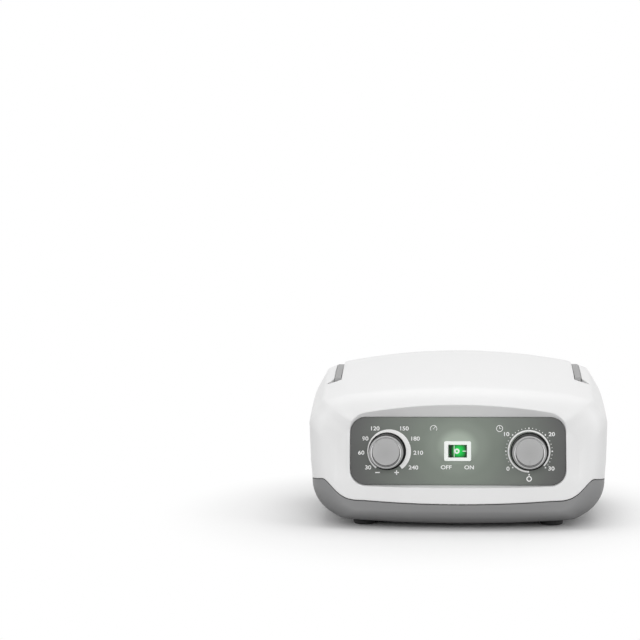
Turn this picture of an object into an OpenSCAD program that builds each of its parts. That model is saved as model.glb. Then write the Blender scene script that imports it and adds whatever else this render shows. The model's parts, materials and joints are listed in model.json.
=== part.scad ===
// Table-top air pump for compression therapy cuffs.
// X runs along the width, -Y is the front with the control panel, +Z is up.
// The origin is on the table, under the middle of the pump. All sizes are in millimetres.

/* [Housing] */
// Width across the sides
body_w = 236; // [230:1:250]
// Height of the crest above the table
body_h = 132; // [126:1:140]
// Distance of the front face from the origin, at mid-width and panel height
front_y = 95.5; // [92:0.5:104]
// Distance of the rear face from the origin
rear_y = 88; // [86:0.5:98]
// Wall of both mouldings
wall = 2.6; // [2:0.1:3.2]
// Bow of the front face over its flat width
front_bow = 10; // [6:0.5:12]
// Lean of the front face and panel, in degrees
lean = 5; // [0:0.5:8]
// Place of the crest line behind the origin
crest_y = 15; // [5:1:20]
// Fall of the top deck from the crest to the edge of the brow
deck_drop = 21; // [16:0.5:24]
// Radius of the brow, where the deck turns into the front face
brow_r = 24; // [18:0.5:26]
// Fall of the crest line from the middle to the shoulders
dome_drop = 8.5; // [6:0.5:11]
// Radius of the rounded sides of the front face, measured along Y
side_r = 27; // [20:1:30]
// Gap between neighbouring pieces that do not move
seam = 0.3; // [0.2:0.05:0.4]

/* [Parting line] */
// Height of the parting line at mid-width
part_z = 21.1; // [20:0.1:26]
// Climb of the parting line at the corners
part_rise = 15.8; // [10:0.1:17]
// Half width at which the climb starts
part_x = 72; // [60:1:74]
// Width of the climb
part_run = 34; // [30:1:38]

/* [Feet and screws] */
// Height of the rubber feet below the housing
foot_h = 3; // [2:0.5:5]
// Diameter of the rubber feet
foot_d = 18; // [14:1:22]
// Distance of the feet's middles from the sides
foot_side = 44; // [40:1:52]
// Half distance of the feet along Y
foot_y = 60; // [56:1:62]
// Distance of the housing screws from the sides
screw_side = 28; // [26:1:32]
// Half distance of the housing screws along Y
screw_y = 36; // [32:1:38]
// Shank diameter of the housing screws
screw_d = 3.5; // [3:0.1:4]

/* [Control panel] */
// Width of the panel
panel_w = 167; // [160:1:170]
// Height of the panel
panel_h = 52.6; // [50:0.2:56]
// Corner radius of the panel
panel_r = 11.8; // [8:0.2:15]
// Thickness of the panel
panel_t = 2.5; // [2:0.1:3]
// Depth of the panel behind the middle of the front face
panel_set = 9.5; // [8:0.5:11]
// Height of the panel's middle above the table
panel_z = 61.1; // [59:0.1:63]
// Distance of each dial from mid-width
dial_x = 55.3; // [50:0.1:58]
// Diameter of both knobs at the skirt
knob_d = 27; // [24:0.5:30]
// Height of both knobs
knob_h = 13.5; // [11:0.5:16]
// Gap between a knob and the panel
knob_gap = 0.7; // [0.5:0.1:1.2]
// Diameter of the dial shafts
shaft_d = 6; // [5:0.1:6.4]
// Radial running clearance of shafts and pins in their bores
run_fit = 0.05; // [0.03:0.01:0.08]
// Width of the switch frame
switch_w = 21; // [19:0.5:23]
// Height of the switch frame
switch_h = 15.4; // [14:0.2:17]
// Travel of the rocker to each side, in degrees
rocker_tilt = 7; // [5:0.5:9]

/* [Handle] */
// Thickness of the handle's arms along X
arm_t = 5; // [4:0.2:6]
// Depth of the arms below the housing's surface
arm_h = 14; // [12:0.5:15]
// Depth of the handle's turning line under the crest
hinge_drop = 27.4; // [26:0.2:29]
// Distance of the turning line in front of the origin
hinge_y = 25.5; // [24:0.5:28]
// Diameter of the hinge pins
pin_d = 5; // [4:0.1:6]
// Middle of the grip bar behind the origin
bar_y = 58; // [56:0.5:60]
// Width of the grip bar along Y
bar_w = 15; // [13:0.5:16]
// Clearance around the handle in its recess
arm_gap = 0.6; // [0.5:0.1:0.8]

/* [Rear panel] */
// Width of the rear panel
rear_w = 168; // [164:1:172]
// Height of the rear panel
rear_h = 44; // [42:0.5:46]
// Height of the rear panel's middle above the table
rear_z = 62; // [60:0.5:63]
// Distance of the mains inlet from the rear panel's end
inlet_end = 46; // [44:0.5:48]
// Distance of the fuse holder from the rear panel's end
fuse_end = 14; // [13:0.5:16]
// Outer diameter of an air nozzle
nozzle_d = 5; // [4:0.1:5.6]
// Free length of an air nozzle
nozzle_len = 15.5; // [12:0.5:18]
// Distance between neighbouring nozzles
nozzle_pitch = 8.5; // [8:0.1:9]

/* [Air pump] */
// Stroke of the armature to each side
stroke = 1.5; // [1:0.1:2]
// Diameter of the diaphragms
diaphragm_d = 40; // [36:1:42]
// Diameter of the distributor disc
rotor_d = 38; // [34:1:40]

/* [Hidden] */
$fn = 48;
// Overlap of cutters past the face that they cut
eps = 0.5;
half_w = body_w / 2;

// Widest section: the dome, the lip, the shoulder, the side and the lower corner
lip_r = 6;
lip_x = half_w - 15.4;
lip_z = body_h - 19.5;
lip_angles = [71, 50, 30];
shoulder_tilt = 30;
shoulder_r = 24;
shoulder_x = half_w - shoulder_r;
shoulder_z = (lip_x * cos(shoulder_tilt) + lip_z * sin(shoulder_tilt) + lip_r
    - shoulder_r - shoulder_x * cos(shoulder_tilt)) / sin(shoulder_tilt);
shoulder_angles = [30, 20, 10, 0];
dome_x = lip_x - 12.4;
// Height from which the sides follow the fall of the deck
side_z = 42;
corner_rx = 32;
corner_rz = 30;
corner_x = half_w - 34;
corner_z = foot_h + corner_rz + 2;
corner_angles = [0, -15, -30, -45, -60, -75, -90];

// Front and rear faces: flat outlines that the sides are rounded into
face_x = half_w - 25;
face_r = 20;
face_top = body_h - deck_drop - brow_r * sin(70);
face_low_r = 18;
face_low_z = foot_h + 13;
face_angles = [80, 65, 52, 40, 26, 12, 0];
rear_bow = 3;
low_r = 20;
// Slight crowns, so that no wall of the housing is quite flat
face_crown = 2;
side_crown = 0.7;
floor_crown = 0.6;
// Rings over each rounded end and along each half of the deck: outside, then inside
outer_rings = [6, 4];
inner_rings = [4, 2];

// A point of the crest line, and how far the deck has fallen at a distance y from the origin
function dome_z(x) = body_h - dome_drop * pow(x / dome_x, 2);
function deck_start(s) = (s < 0 ? -front_y : rear_y) - s * brow_r * (1 - cos(70));
function deck_fall(y) = let (s = y < crest_y ? -1 : 1)
    deck_drop * pow(abs(y - crest_y) / abs(deck_start(s) - crest_y), 1.5);

// How much of the deck's fall a point of the widest section takes
function share(z) = max(0, (z - side_z) / (body_h - side_z));

// Half outlines from top centre to bottom centre, as [x, z]
function mid_half(e) = concat(
    [for (i = [0:6]) [dome_x * i / 6, dome_z(dome_x * i / 6) - e]],
    [for (a = lip_angles) [lip_x + (lip_r - e) * cos(a), lip_z + (lip_r - e) * sin(a)]],
    [for (a = shoulder_angles)
        [shoulder_x + (shoulder_r - e) * cos(a), shoulder_z + (shoulder_r - e) * sin(a)]],
    [for (k = [0.66, 0.33])
        [half_w - 1.2 * (1 - k) - e, corner_z + k * (shoulder_z - corner_z)]],
    [for (a = corner_angles)
        [corner_x + (corner_rx - e) * cos(a), corner_z + (corner_rz - e) * sin(a)]],
    [[corner_x / 2, foot_h + 0.5 + e], [0, foot_h + e]]);
function face_half() = concat(
    [for (i = [0:6]) let (x = (face_x - face_r + 2) * i / 6)
        [x, face_top - dome_drop * pow(i / 6, 2)]],
    [for (a = face_angles)
        [face_x - face_r + face_r * cos(a), face_top - dome_drop - face_r + face_r * sin(a)]],
    [for (k = [0.66, 0.33]) [face_x, face_low_z + face_low_r
        + k * (face_top - dome_drop - face_r - face_low_z - face_low_r)]],
    [for (a = corner_angles)
        [face_x - face_low_r + face_low_r * cos(a),
            face_low_z + face_low_r + face_low_r * sin(a)]],
    [[corner_x / 2, face_low_z], [0, face_low_z]]);
half_n = len(face_half());
ring_n = 2 * half_n - 2;

// Both halves of an outline, and the same point counted round the ring
function whole(half, j) = j < half_n ? half[j]
    : [-half[ring_n - j][0], half[ring_n - j][1]];

// The bowed face: y of the front (s = -1) or rear (s = 1) face at x and z, moved in by e
function face_y(s, x, z, e) = s < 0
    ? -(front_y - e) + front_bow * pow(x / face_x, 2) + tan(lean) * (z - panel_z)
        + face_crown * pow((z - panel_z) / face_top, 2)
    : rear_y - e - rear_bow * pow(x / face_x, 2) - face_crown * pow((z - rear_z) / face_top, 2);

// Ring k of one end, from its flat face (k = 0) over the rounding (k = n[0]) to the crest
function ring(s, k, e, n) = let (half = mid_half(e), outer = mid_half(0), flat = face_half())
    [for (j = [0:ring_n - 1]) let (
    m = whole(half, j), f = whole(flat, j), t = share(whole(outer, j)[1]),
    a = min(k, n[0]) * 90 / n[0], b = min(k, n[0]) * 70 / n[0],
    q = max(0, k - n[0]) / (n[1] + 1),
    r = brow_r - e,
    span = (f[1] < face_low_z + 1 ? low_r : side_r) - e,
    y_top = face_y(s, f[0], face_top, e) - s * r * (1 - cos(b)),
    y_side = face_y(s, f[0], f[1], e) - s * span * (1 - cos(a)),
    y_edge = t * y_top + (1 - t) * y_side,
    y = y_edge + (crest_y - y_edge) * q,
    z_top = k <= n[0] ? f[1] + (m[1] - deck_drop - f[1]) * sin(b) / sin(70)
        : m[1] - deck_drop * pow(1 - q, 1.5),
    far = pow(1 - q, 2),
    z_side = f[1] + (m[1] + floor_crown * far - f[1]) * sin(a),
    z = k == 0 ? f[1] : t * z_top + (1 - t) * z_side,
    x_wide = m[0] * (1 - side_crown / half_w * far))
    [f[0] + (x_wide - f[0]) * sin(a), y, z]];
// A ring inside the flat face, drawn in towards its middle
face_mid = (face_top + face_low_z) / 2;
function face_ring(s, c, e) = [for (j = [0:ring_n - 1]) let (
    f = whole(face_half(), j), x = f[0] * c, z = face_mid + (f[1] - face_mid) * c)
    [x, face_y(s, x, z, e), z]];

// The housing as one closed body, moved in by e all round
function housing_rings(e, n) = concat(
    [for (c = [0.05, 0.4, 0.75]) face_ring(-1, c, e)],
    [for (k = [0:n[0] + n[1]]) ring(-1, k, e, n)],
    [ring(-1, n[0] + n[1] + 1, e, n)],
    [for (k = [n[0] + n[1]:-1:0]) ring(1, k, e, n)],
    [for (c = [0.75, 0.4, 0.05]) face_ring(1, c, e)]);
module housing_body(e) {
    rings = housing_rings(e, e > 0 ? inner_rings : outer_rings);
    last = len(rings) - 1;
    sides = [for (i = [0:last - 1], j = [0:ring_n - 1]) let (
        a = i * ring_n + j, b = i * ring_n + (j + 1) % ring_n, c = a + ring_n, d = b + ring_n)
        each [[a, d, b], [a, c, d]]];
    ends = [[for (j = [0:ring_n - 1]) j], [for (j = [ring_n - 1:-1:0]) last * ring_n + j]];
    polyhedron([for (r = rings, p = r) p], concat(sides, ends), convexity = 6);
}

// Height of the parting line at x
part_lift = 2;
part_fall = 2.2;
part_bend = 2.05;
function ease(t) = let (c = max(0, min(1, t))) c * c * (3 - 2 * c);
function parting(x) = let (a = abs(x))
    part_z + part_lift * pow(min(1, a / part_x), 2)
    + part_rise * ease(pow(max(0, a - part_x) / part_run, part_bend))
    - part_fall * max(0, (a - part_x - part_run) / (half_w - part_x - part_run));
reach = 2 * body_w;
// Everything on one side of the parting surface: above with s = 1, below with s = -1
module parting_half(s) {
    climb = [for (i = [0:8]) part_x + part_run * pow(i / 8, 0.6)];
    xs = concat([-body_w], [for (i = [8:-1:0]) -climb[i]], [for (i = [-2:2]) part_x * i / 3],
        climb, [body_w]);
    rotate([90, 0, 0]) linear_extrude(reach, center = true)
        polygon(concat([[-body_w, s * reach]], [for (x = xs) [x, parting(x) - s * seam / 2]],
            [[body_w, s * reach]]));
}

// Flat outlines
module rounded_rect(w, h, r) {
    square([w - 2 * r, h], center = true);
    square([w, h - 2 * r], center = true);
    for (x = [-1, 1], y = [-1, 1])
        translate([x * (w / 2 - r), y * (h / 2 - r)]) circle(r);
}
module rounded_plate(w, h, r, t) linear_extrude(t) rounded_rect(w, h, r);
// A tube along Z
module tube(d, bore, h) difference() {
    cylinder(d = d, h = h);
    translate([0, 0, -eps]) cylinder(d = bore, h = h + 2 * eps);
}

// The panel's own frame: X along the width, Y up the panel, Z out of its face
panel_y = front_y - panel_set;
module panel_frame() translate([0, -panel_y, panel_z]) rotate([90 - lean, 0, 0]) children();
// The rear panel's own frame, with Z out of its face and X seen from the rear
rear_set = 1.5;
rear_t = 2.5;
rear_r = 6;
rear_face = rear_y - rear_bow * pow(rear_w / 2 / face_x, 2) - rear_set;
module rear_frame() translate([0, rear_face, rear_z]) rotate([90, 0, 180]) children();

// Recess of the front panel: it widens towards the face, most of all under the brow
ledge = 4;
flare_d = 12;
flare_top = 14;
flare_side = 5;
flare_low = 2.4;
thin = 0.02;
module panel_recess() {
    translate([0, 0, -panel_t])
        rounded_plate(panel_w + 2 * seam, panel_h + 2 * seam, panel_r + seam, panel_t + thin);
    hull() {
        rounded_plate(panel_w + 2 * seam, panel_h + 2 * seam, panel_r + seam, thin, $fn = 32);
        translate([0, (flare_top - flare_low) / 2, flare_d])
            rounded_plate(panel_w + 2 * flare_side, panel_h + flare_top + flare_low,
                panel_r + flare_side, thin, $fn = 32);
    }
    translate([0, 0, -panel_t - 2 * wall])
        rounded_plate(panel_w - 2 * ledge, panel_h - 2 * ledge, panel_r - ledge, 3 * wall);
}
module panel_tub() translate([0, 1, -panel_t - wall])
    rounded_plate(panel_w + 2 * wall + 3, panel_h + 2 * wall + 8, panel_r + wall, flare_d + wall);

// Recess of the handle: two slots for the arms and a trough for the grip bar, grown by g
hinge_z = body_h - hinge_drop;
slot_x = lip_x - 6.3;
slot_w = arm_t + 2 * arm_gap;
slot_front = hinge_y + 13.8;
slot_floor = hinge_z - 10.6;
trough_front = bar_y - bar_w / 2 - 9;
trough_rear = bar_y + bar_w / 2 + 3.5;
notch_x = 4.9;
notch_y = 7;
lip_top = [lip_x + lip_r * cos(lip_angles[0]), lip_z + lip_r * sin(lip_angles[0])];
slot_top = dome_z(dome_x)
    + (lip_top[1] - dome_z(dome_x)) * (slot_x - dome_x) / (lip_top[0] - dome_x);
module handle_recess(g) {
    top = body_h + 10;
    for (s = [-1, 1]) {
        translate([s * slot_x - slot_w / 2 - g, -slot_front - g, slot_floor - g])
            cube([slot_w + 2 * g, slot_front + trough_rear + 2 * g, top]);
        // the tapering notch in front of the arm's outer side
        hull() {
            translate([s * (slot_x + slot_w / 2 - 1), -slot_front + 1, slot_floor - g])
                cylinder(r = 1 + g, h = top, $fn = 16);
            translate([s * (slot_x + slot_w / 2 - 1), -slot_front + notch_y, slot_floor - g])
                cylinder(r = 1 + g, h = top, $fn = 16);
            translate([s * (slot_x + slot_w / 2 + notch_x), -slot_front + 1, slot_floor - g])
                cylinder(r = 0.6 + g, h = top, $fn = 16);
        }
    }
    translate([-slot_x - slot_w / 2 - g, trough_front - g, slot_floor - g])
        cube([2 * slot_x + slot_w + 2 * g, trough_rear - trough_front + 2 * g, top]);
}
module at_hinges() for (s = [-1, 1])
    translate([s * slot_x, -hinge_y, hinge_z]) rotate([0, 90, 0]) children();

// A thin upright rib with the given outline
rib_t = 1.6;
module rib(outline) rotate([90, 0, 0]) linear_extrude(rib_t, center = true) polygon(outline);
// Screw posts: the top shell's posts meet the base shell's posts under the parting line
post_d = 11.5;
post_joint = 30;
screw_x = half_w - screw_side;
foot_x = half_w - foot_side;
module at_screws() for (x = [-1, 1], y = [-1, 1])
    translate([x * screw_x, y * screw_y, 0]) children();
head_z = foot_h + 12;
// Depth of the feet in their wells, and height of the pads that carry the inner pieces
foot_in = 3.2;
seat_z = foot_h + wall + 3.4;
pad_d = 15;
// Pilot holes are wider than their screws by one seam
tap_d = 2.9;
module at_corners(dx, dy) for (x = [-1, 1], y = [-1, 1]) translate([x * dx, y * dy, 0]) children();
module at_panel_screws() rear_frame() at_corners(rear_w / 2 - 5, rear_h / 2 - 5) children();

module top_shell() color("#eeeeee") difference() {
    union() {
        difference() {
            housing_body(0);
            difference() {
                housing_body(wall);
                panel_frame() panel_tub();
                rear_frame() translate([0, 0, -rear_t - wall])
                    rounded_plate(rear_w + 2 * wall, rear_h + 2 * wall, rear_r + wall, 10);
                handle_recess(wall - 0.4);
                at_panel_screws() translate([0, 0, -rear_t - 8]) cylinder(d = 7, h = 8);
                // screw posts with two ribs each
                at_screws() translate([0, 0, post_joint + seam / 2]) {
                    cylinder(d = post_d, h = slot_floor - post_joint);
                    for (a = [45, 225]) rotate([0, 0, a])
                        rib([[0, 20], [0, slot_floor - post_joint], [11, slot_floor - post_joint],
                            [11, 48]]);
                }
            }
        }
    }
    parting_half(-1);
    panel_frame() panel_recess();
    rear_frame() {
        translate([0, 0, -rear_t]) rounded_plate(rear_w + 2 * seam, rear_h + 2 * seam,
            rear_r + seam, 20);
        difference() {
            translate([0, 0, -20]) rounded_plate(rear_w - 2 * ledge, rear_h - 2 * ledge,
                rear_r - ledge + 1, 30);
            at_corners(rear_w / 2 - 5, rear_h / 2 - 5)
                translate([0, 0, -25]) cylinder(d = 7, h = 25 - rear_t);
        }
    }
    at_panel_screws() translate([0, 0, -rear_t - 7]) cylinder(d = tap_d + seam, h = 8);
    handle_recess(0);
    at_hinges() cylinder(d = pin_d + 2 * run_fit, h = slot_w + 2 * wall - 1, center = true);
    // pilot holes of the housing screws
    at_screws() translate([0, 0, post_joint - eps])
        cylinder(d = screw_d + seam, h = 16);
}

vent_n = 7;
vent_w = 2.4;
vent_len = 34;
module base_shell() color("#8a8a8a") difference() {
    union() {
        difference() {
            housing_body(0);
            difference() {
                housing_body(wall);
                at_screws() cylinder(d = post_d, h = post_joint - seam / 2);
                // ribs that stiffen the screw posts
                at_screws() for (a = [45, 135, 225, 315]) rotate([0, 0, a])
                    rib([[0, 0], [0, 24], [4, 22], [11, 14], [11, 0]]);
                // wells of the rubber feet
                at_corners(foot_x, foot_y)
                    cylinder(d = foot_d + 2 * wall, h = foot_h + foot_in + seam + wall);
                // flat pads under the pump, the board and the distributor
                at_mounts() cylinder(d = pad_d, h = seat_z);
                at_posts() cylinder(d = 9, h = seat_z);
                at_motor_legs() cylinder(d = 9, h = seat_z);
            }
        }
    }
    parting_half(1);
    at_screws() {
        cylinder(d = screw_d + 2 * seam, h = reach);
        translate([0, 0, -eps]) cylinder(d = 8, h = head_z + eps);
    }
    at_corners(foot_x, foot_y) translate([0, 0, -eps])
        cylinder(d = foot_d + 2 * seam, h = foot_h + foot_in + seam + eps);
    // air slots in the floor, under the pump
    for (i = [0:vent_n - 1])
        translate([(i - (vent_n - 1) / 2) * 3 * vent_w, 0, 0])
            rounded_plate(vent_w + 0.02, vent_len, vent_w / 2, 12);
}

// The handle: arms that follow the shoulder line and an arched bar behind the crest
function arm_top(y) = slot_top - deck_fall(y) * share(slot_top) - 0.6;
arm_rear = bar_y + bar_w / 2;
arm_nose = 8.4;
function nose_reach(a) = a < 140 ? 12.4 : a < 150 ? 11.6 : arm_nose + max(0, 168 - a) / 12;
bar_h = 12;
bar_r = (dome_x * dome_x / dome_drop + dome_drop) / 2;
module arm_side() {
    ys = [for (i = [0:12]) -hinge_y + (arm_rear + hinge_y) * i / 12];
    polygon(concat([for (y = ys) [y, arm_top(y)]],
        [for (i = [12:-1:0]) [ys[i], max(slot_floor + 1, arm_top(ys[i]) - arm_h)]]));
    // the nose stays inside a circle round the hinge, so that it turns in its slot
    polygon(concat([[-hinge_y, hinge_z - arm_nose], [-hinge_y + arm_nose, hinge_z]],
        [for (y = [0:-2:-8]) [y - hinge_y, arm_top(y - hinge_y)]],
        [for (a = [132:12:192]) [-hinge_y + nose_reach(a) * cos(a), hinge_z + nose_reach(a) * sin(a)]]));
    translate([-hinge_y, hinge_z]) circle(arm_nose);
}
module carry_handle() color("#9c9c9c") difference() {
    union() {
        for (s = [-1, 1]) translate([s * slot_x - arm_t / 2, 0, 0])
            rotate([90, 0, 90]) linear_extrude(arm_t) arm_side();
        intersection() {
            translate([0, arm_rear, arm_top(bar_y) + 9 - bar_r]) rotate([90, 0, 0])
                difference() {
                    cylinder(r = bar_r, h = bar_w);
                    translate([0, 0, -eps]) cylinder(r = bar_r - bar_h, h = bar_w + 2 * eps);
                }
            translate([-slot_x, bar_y - bar_w, slot_floor + 1])
                cube([2 * slot_x, 2 * bar_w, body_h]);
        }
    }
    at_hinges() cylinder(d = pin_d + 2 * run_fit, h = slot_w, center = true);
}
module handle_pivots() color("#b8b8b8")
    at_hinges() cylinder(d = pin_d, h = slot_w + 2 * wall - 1.4, center = true);

// Control panel
bush_d = 9;
module front_panel() color("#636363") panel_frame() difference() {
    translate([0, 0, -panel_t]) rounded_plate(panel_w, panel_h, panel_r, panel_t);
    for (s = [-1, 1]) translate([s * dial_x, 0, -2 * panel_t])
        cylinder(d = bush_d + 2 * run_fit, h = 3 * panel_t);
    translate([-(switch_w - 2) / 2, -(switch_h - 2) / 2, -2 * panel_t])
        cube([switch_w - 2, switch_h - 2, 3 * panel_t]);
}

// One dial knob: a skirt, a grooved body and a recess for its cap
cap_d = 22;
cap_t = 1.2;
knob_grip = 24.6;
module knob() difference() {
    translate([0, 0, knob_gap]) rotate_extrude() polygon([[0, 0], [knob_d / 2 - 0.6, 0],
        [knob_d / 2, 0.6], [knob_d / 2, 2.4], [knob_grip / 2 + 0.3, 3.2],
        [knob_grip / 2, knob_h - 1.6], [knob_grip / 2 - 1.2, knob_h - 0.3],
        [knob_grip / 2 - 1.8, knob_h], [0, knob_h]]);
    translate([0, 0, knob_gap + knob_h - cap_t - 0.2])
        cylinder(d = cap_d - 1 + 2 * seam, h = cap_t + eps);
    // pointer notch in the rim
    translate([cap_d / 2 - 0.8, -0.5, knob_gap + knob_h - 0.5]) cube([knob_d, 1, 2]);
    // bore with a flat for the shaft, and a hollow that clears the nut
    shaft_cut(shaft_d / 2 + run_fit, knob_gap + knob_h - cap_t - 1.6);
    cylinder(d = 16, h = knob_gap + 5);
}
module shaft_cut(r, h) difference() {
    cylinder(r = r, h = h);
    translate([r - 1.2, -r, 5 + knob_gap + seam]) cube([2 * r, 2 * r, h]);
}
module knob_cap() translate([0, 0, knob_gap + knob_h - cap_t])
    cylinder(d = cap_d - 1, h = cap_t);
// Shaft with a flat on the stretch inside the knob
module dial_shaft() {
    difference() {
        translate([0, 0, -16]) cylinder(d = shaft_d, h = 16 + knob_gap + knob_h - cap_t - 2);
        translate([shaft_d / 2 - 1.2, -shaft_d, 5 + knob_gap])
            cube([shaft_d, 2 * shaft_d, knob_h]);
    }
}
nut_t = 2.4;
module dial_nut() difference() {
    cylinder(d = 13, h = nut_t, $fn = 6);
    translate([0, 0, -eps]) cylinder(d = bush_d + 2 * run_fit, h = nut_t + 2 * eps);
}
// Threaded bush of a control, through the panel and the nut, with its body behind
module control_bush() difference() {
    translate([0, 0, -panel_t]) cylinder(d = bush_d, h = panel_t + nut_t + 0.6);
    translate([0, 0, -panel_t - eps]) cylinder(d = shaft_d + 2 * run_fit, h = 3 * panel_t);
}
module pressure_knob() color("#a8a8a8") panel_frame()
    translate([-dial_x, 0, 0]) rotate([0, 0, 135]) knob();
module pressure_knob_cap() color("#a2a2a2") panel_frame()
    translate([-dial_x, 0, 0]) knob_cap();
module pressure_shaft() color("#c8c8c8") panel_frame()
    translate([-dial_x, 0, 0]) rotate([0, 0, 135]) dial_shaft();
module pressure_nut() color("#c0c0c0") panel_frame()
    translate([-dial_x, 0, 0]) dial_nut();
valve_d = 30;
valve_out = 22;
module pressure_valve() color("#d0b060") panel_frame() translate([-dial_x, 0, 0]) {
    control_bush();
    translate([0, 0, -panel_t]) mirror([0, 0, 1]) difference() {
        union() {
            cylinder(d = valve_d, h = 12);
            cylinder(d = 22, h = 30);
            // hose barb at the side
            translate([0, 0, valve_out]) rotate([-90, 0, 0]) cylinder(d = 5, h = 24);
        }
        translate([0, 0, -eps]) cylinder(d = shaft_d + 2 * run_fit, h = 16);
    }
}
module timer_knob() color("#a8a8a8") panel_frame()
    translate([dial_x, 0, 0]) rotate([0, 0, -90]) knob();
module timer_knob_cap() color("#a2a2a2") panel_frame()
    translate([dial_x, 0, 0]) knob_cap();
module timer_shaft() color("#c8c8c8") panel_frame()
    translate([dial_x, 0, 0]) rotate([0, 0, -90]) dial_shaft();
module timer_nut() color("#c0c0c0") panel_frame()
    translate([dial_x, 0, 0]) dial_nut();
module timer_body() color("#e8e0c8") panel_frame() translate([dial_x, 0, 0]) {
    control_bush();
    translate([0, 0, -panel_t]) mirror([0, 0, 1]) difference() {
        union() {
            cylinder(d = 40, h = 18);
            rounded_plate(32, 44, 4, 3);
            for (x = [-10, 10]) translate([x - 3, -0.4, 17]) cube([6, 0.8, 9]);
        }
        translate([0, 0, -eps]) cylinder(d = shaft_d + 2 * run_fit, h = 15);
    }
}

// Rocker switch: a frame with a snap-in body, and the rocker that turns on two trunnions
frame_t = 1.8;
rock_w = 14.4;
rock_h = 9.8;
rock_axis = -3;
body_deep = 22;
module switch_bezel() color("#e8ece8") panel_frame() difference() {
    union() {
        rounded_plate(switch_w, switch_h, 1.2, frame_t);
        translate([-(switch_w - 2.6) / 2, -(switch_h - 2.6) / 2, -body_deep])
            cube([switch_w - 2.6, switch_h - 2.6, body_deep + thin]);
    }
    translate([-rock_w / 2, -rock_h / 2, -14]) cube([rock_w, rock_h, 20]);
    translate([0, 0, rock_axis]) rotate([90, 0, 0])
        cylinder(r = 1.2 + run_fit, h = rock_h + 2.4, center = true);
}
module switch_rocker() color("#10c850") panel_frame() translate([0, 0, rock_axis])
    rotate([0, rocker_tilt, 0]) {
        rotate([90, 0, 0]) difference() {
            union() {
                cylinder(r = rock_w / 2 - 1.3, h = rock_h - 0.6, center = true);
                // the two faces slope down to a valley above the trunnions
                translate([0, 0, -(rock_h - 0.6) / 2]) linear_extrude(rock_h - 0.6)
                    polygon([[1.3 - rock_w / 2, 0], [1 - rock_w / 2, 4.6], [0, 3.7],
                        [rock_w / 2 - 1, 4.6], [rock_w / 2 - 1.3, 0]]);
            }
            translate([0, -rock_w / 2, 0]) cube([rock_w, rock_w - 4, rock_h], center = true);
        }
        rotate([90, 0, 0]) cylinder(r = 1.2, h = rock_h + 2, center = true);
    }
module switch_terminals() color("#d0d0c8") panel_frame()
    for (x = [-6, 0, 6]) translate([x - 0.4, -2.4, -body_deep - 8]) cube([0.8, 4.8, 8 - thin]);

// Rear panel with the mains inlet, the fuse and the air outlets
inlet_w = 24;
inlet_h = 16.5;
inlet_x = rear_w / 2 - inlet_end;
fuse_x = rear_w / 2 - fuse_end;
socket_x = [22 - rear_w / 2, 64 - rear_w / 2];
socket_w = 38;
socket_h = 20;
module at_sockets() for (x = socket_x) translate([x, 0, 0]) children();
module at_nozzles() at_sockets()
    for (i = [-1.5:1:1.5]) translate([i * nozzle_pitch, 0, 0]) children();
module rear_panel() color("#8a8a8a") rear_frame() difference() {
    translate([0, 0, -rear_t]) rounded_plate(rear_w, rear_h, rear_r, rear_t);
    translate([inlet_x - inlet_w / 2, -inlet_h / 2, -2 * rear_t])
        cube([inlet_w, inlet_h, 3 * rear_t]);
    translate([fuse_x, 0, -2 * rear_t]) cylinder(d = 12.4, h = 3 * rear_t);
    at_sockets() translate([0, 0, -2 * rear_t])
        rounded_plate(socket_w - 4, socket_h - 4, 3, 3 * rear_t);
    at_corners(rear_w / 2 - 5, rear_h / 2 - 5) translate([0, 0, -2 * rear_t])
        cylinder(d = tap_d + 2 * seam, h = 3 * rear_t);
    // air slots above the inlet
    for (i = [0:8]) translate([inlet_x - 16 + 4 * i, rear_h / 2 - 9, -2 * rear_t])
        cube([1.8, 5, 3 * rear_t]);
}
module panel_screws() color("#b0b0b0") at_panel_screws() difference() {
    union() {
        translate([0, 0, seam / 4]) intersection() {
            cylinder(d = 5.6, h = 1.8);
            translate([0, 0, -2.2]) sphere(r = 3.9);
        }
        translate([0, 0, -rear_t - 6]) cylinder(d = tap_d, h = rear_t + 6 + seam / 2);
    }
    for (a = [0, 90]) rotate([0, 0, a]) translate([-1.6, -0.3, 1]) cube([3.2, 0.6, 2]);
}
module mains_inlet() color("#303030") rear_frame() translate([inlet_x, 0, 0]) difference() {
    union() {
        rounded_plate(inlet_w + 5, inlet_h + 5, 2.5, 2);
        translate([-(inlet_w - 1) / 2, -(inlet_h - 1) / 2, -20])
            cube([inlet_w - 1, inlet_h - 1, 20 + thin]);
    }
    translate([-(inlet_w - 4) / 2, -(inlet_h - 4) / 2, -16])
        cube([inlet_w - 4, inlet_h - 4, 24]);
}
module inlet_pins() color("#c8c8c0") rear_frame()
    for (s = [-1, 1]) translate([inlet_x + s * 4.3, 0, -16 + thin]) {
        cylinder(d = 2.4, h = 12);
        translate([0, 0, 12]) sphere(d = 2.4);
    }
module fuse_holder() color("#303030") rear_frame() translate([fuse_x, 0, 0]) difference() {
    union() {
        tube(16, 9, 1.6);
        translate([0, 0, -30]) cylinder(d = 12, h = 30 + thin);
    }
    translate([0, 0, -28]) cylinder(d = 9, h = 40);
}
module fuse_cap() color("#383838") rear_frame() translate([fuse_x, 0, 0]) difference() {
    union() {
        translate([0, 0, 1.6 + seam / 3]) cylinder(d = 12.6, h = 3.4);
        translate([0, 0, -6]) cylinder(d = 9 - 2 * run_fit, h = 8);
    }
    translate([-5, -0.6, 4]) cube([10, 1.2, 2]);
    translate([0, 0, -6 - eps]) cylinder(d = 5.4, h = 5);
}
module glass_fuse() color("#d8d8d0") rear_frame() translate([fuse_x, 0, -27.8])
    cylinder(d = 5.2, h = 25.8 - 0.2);
collar_h = 2.7;
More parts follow.
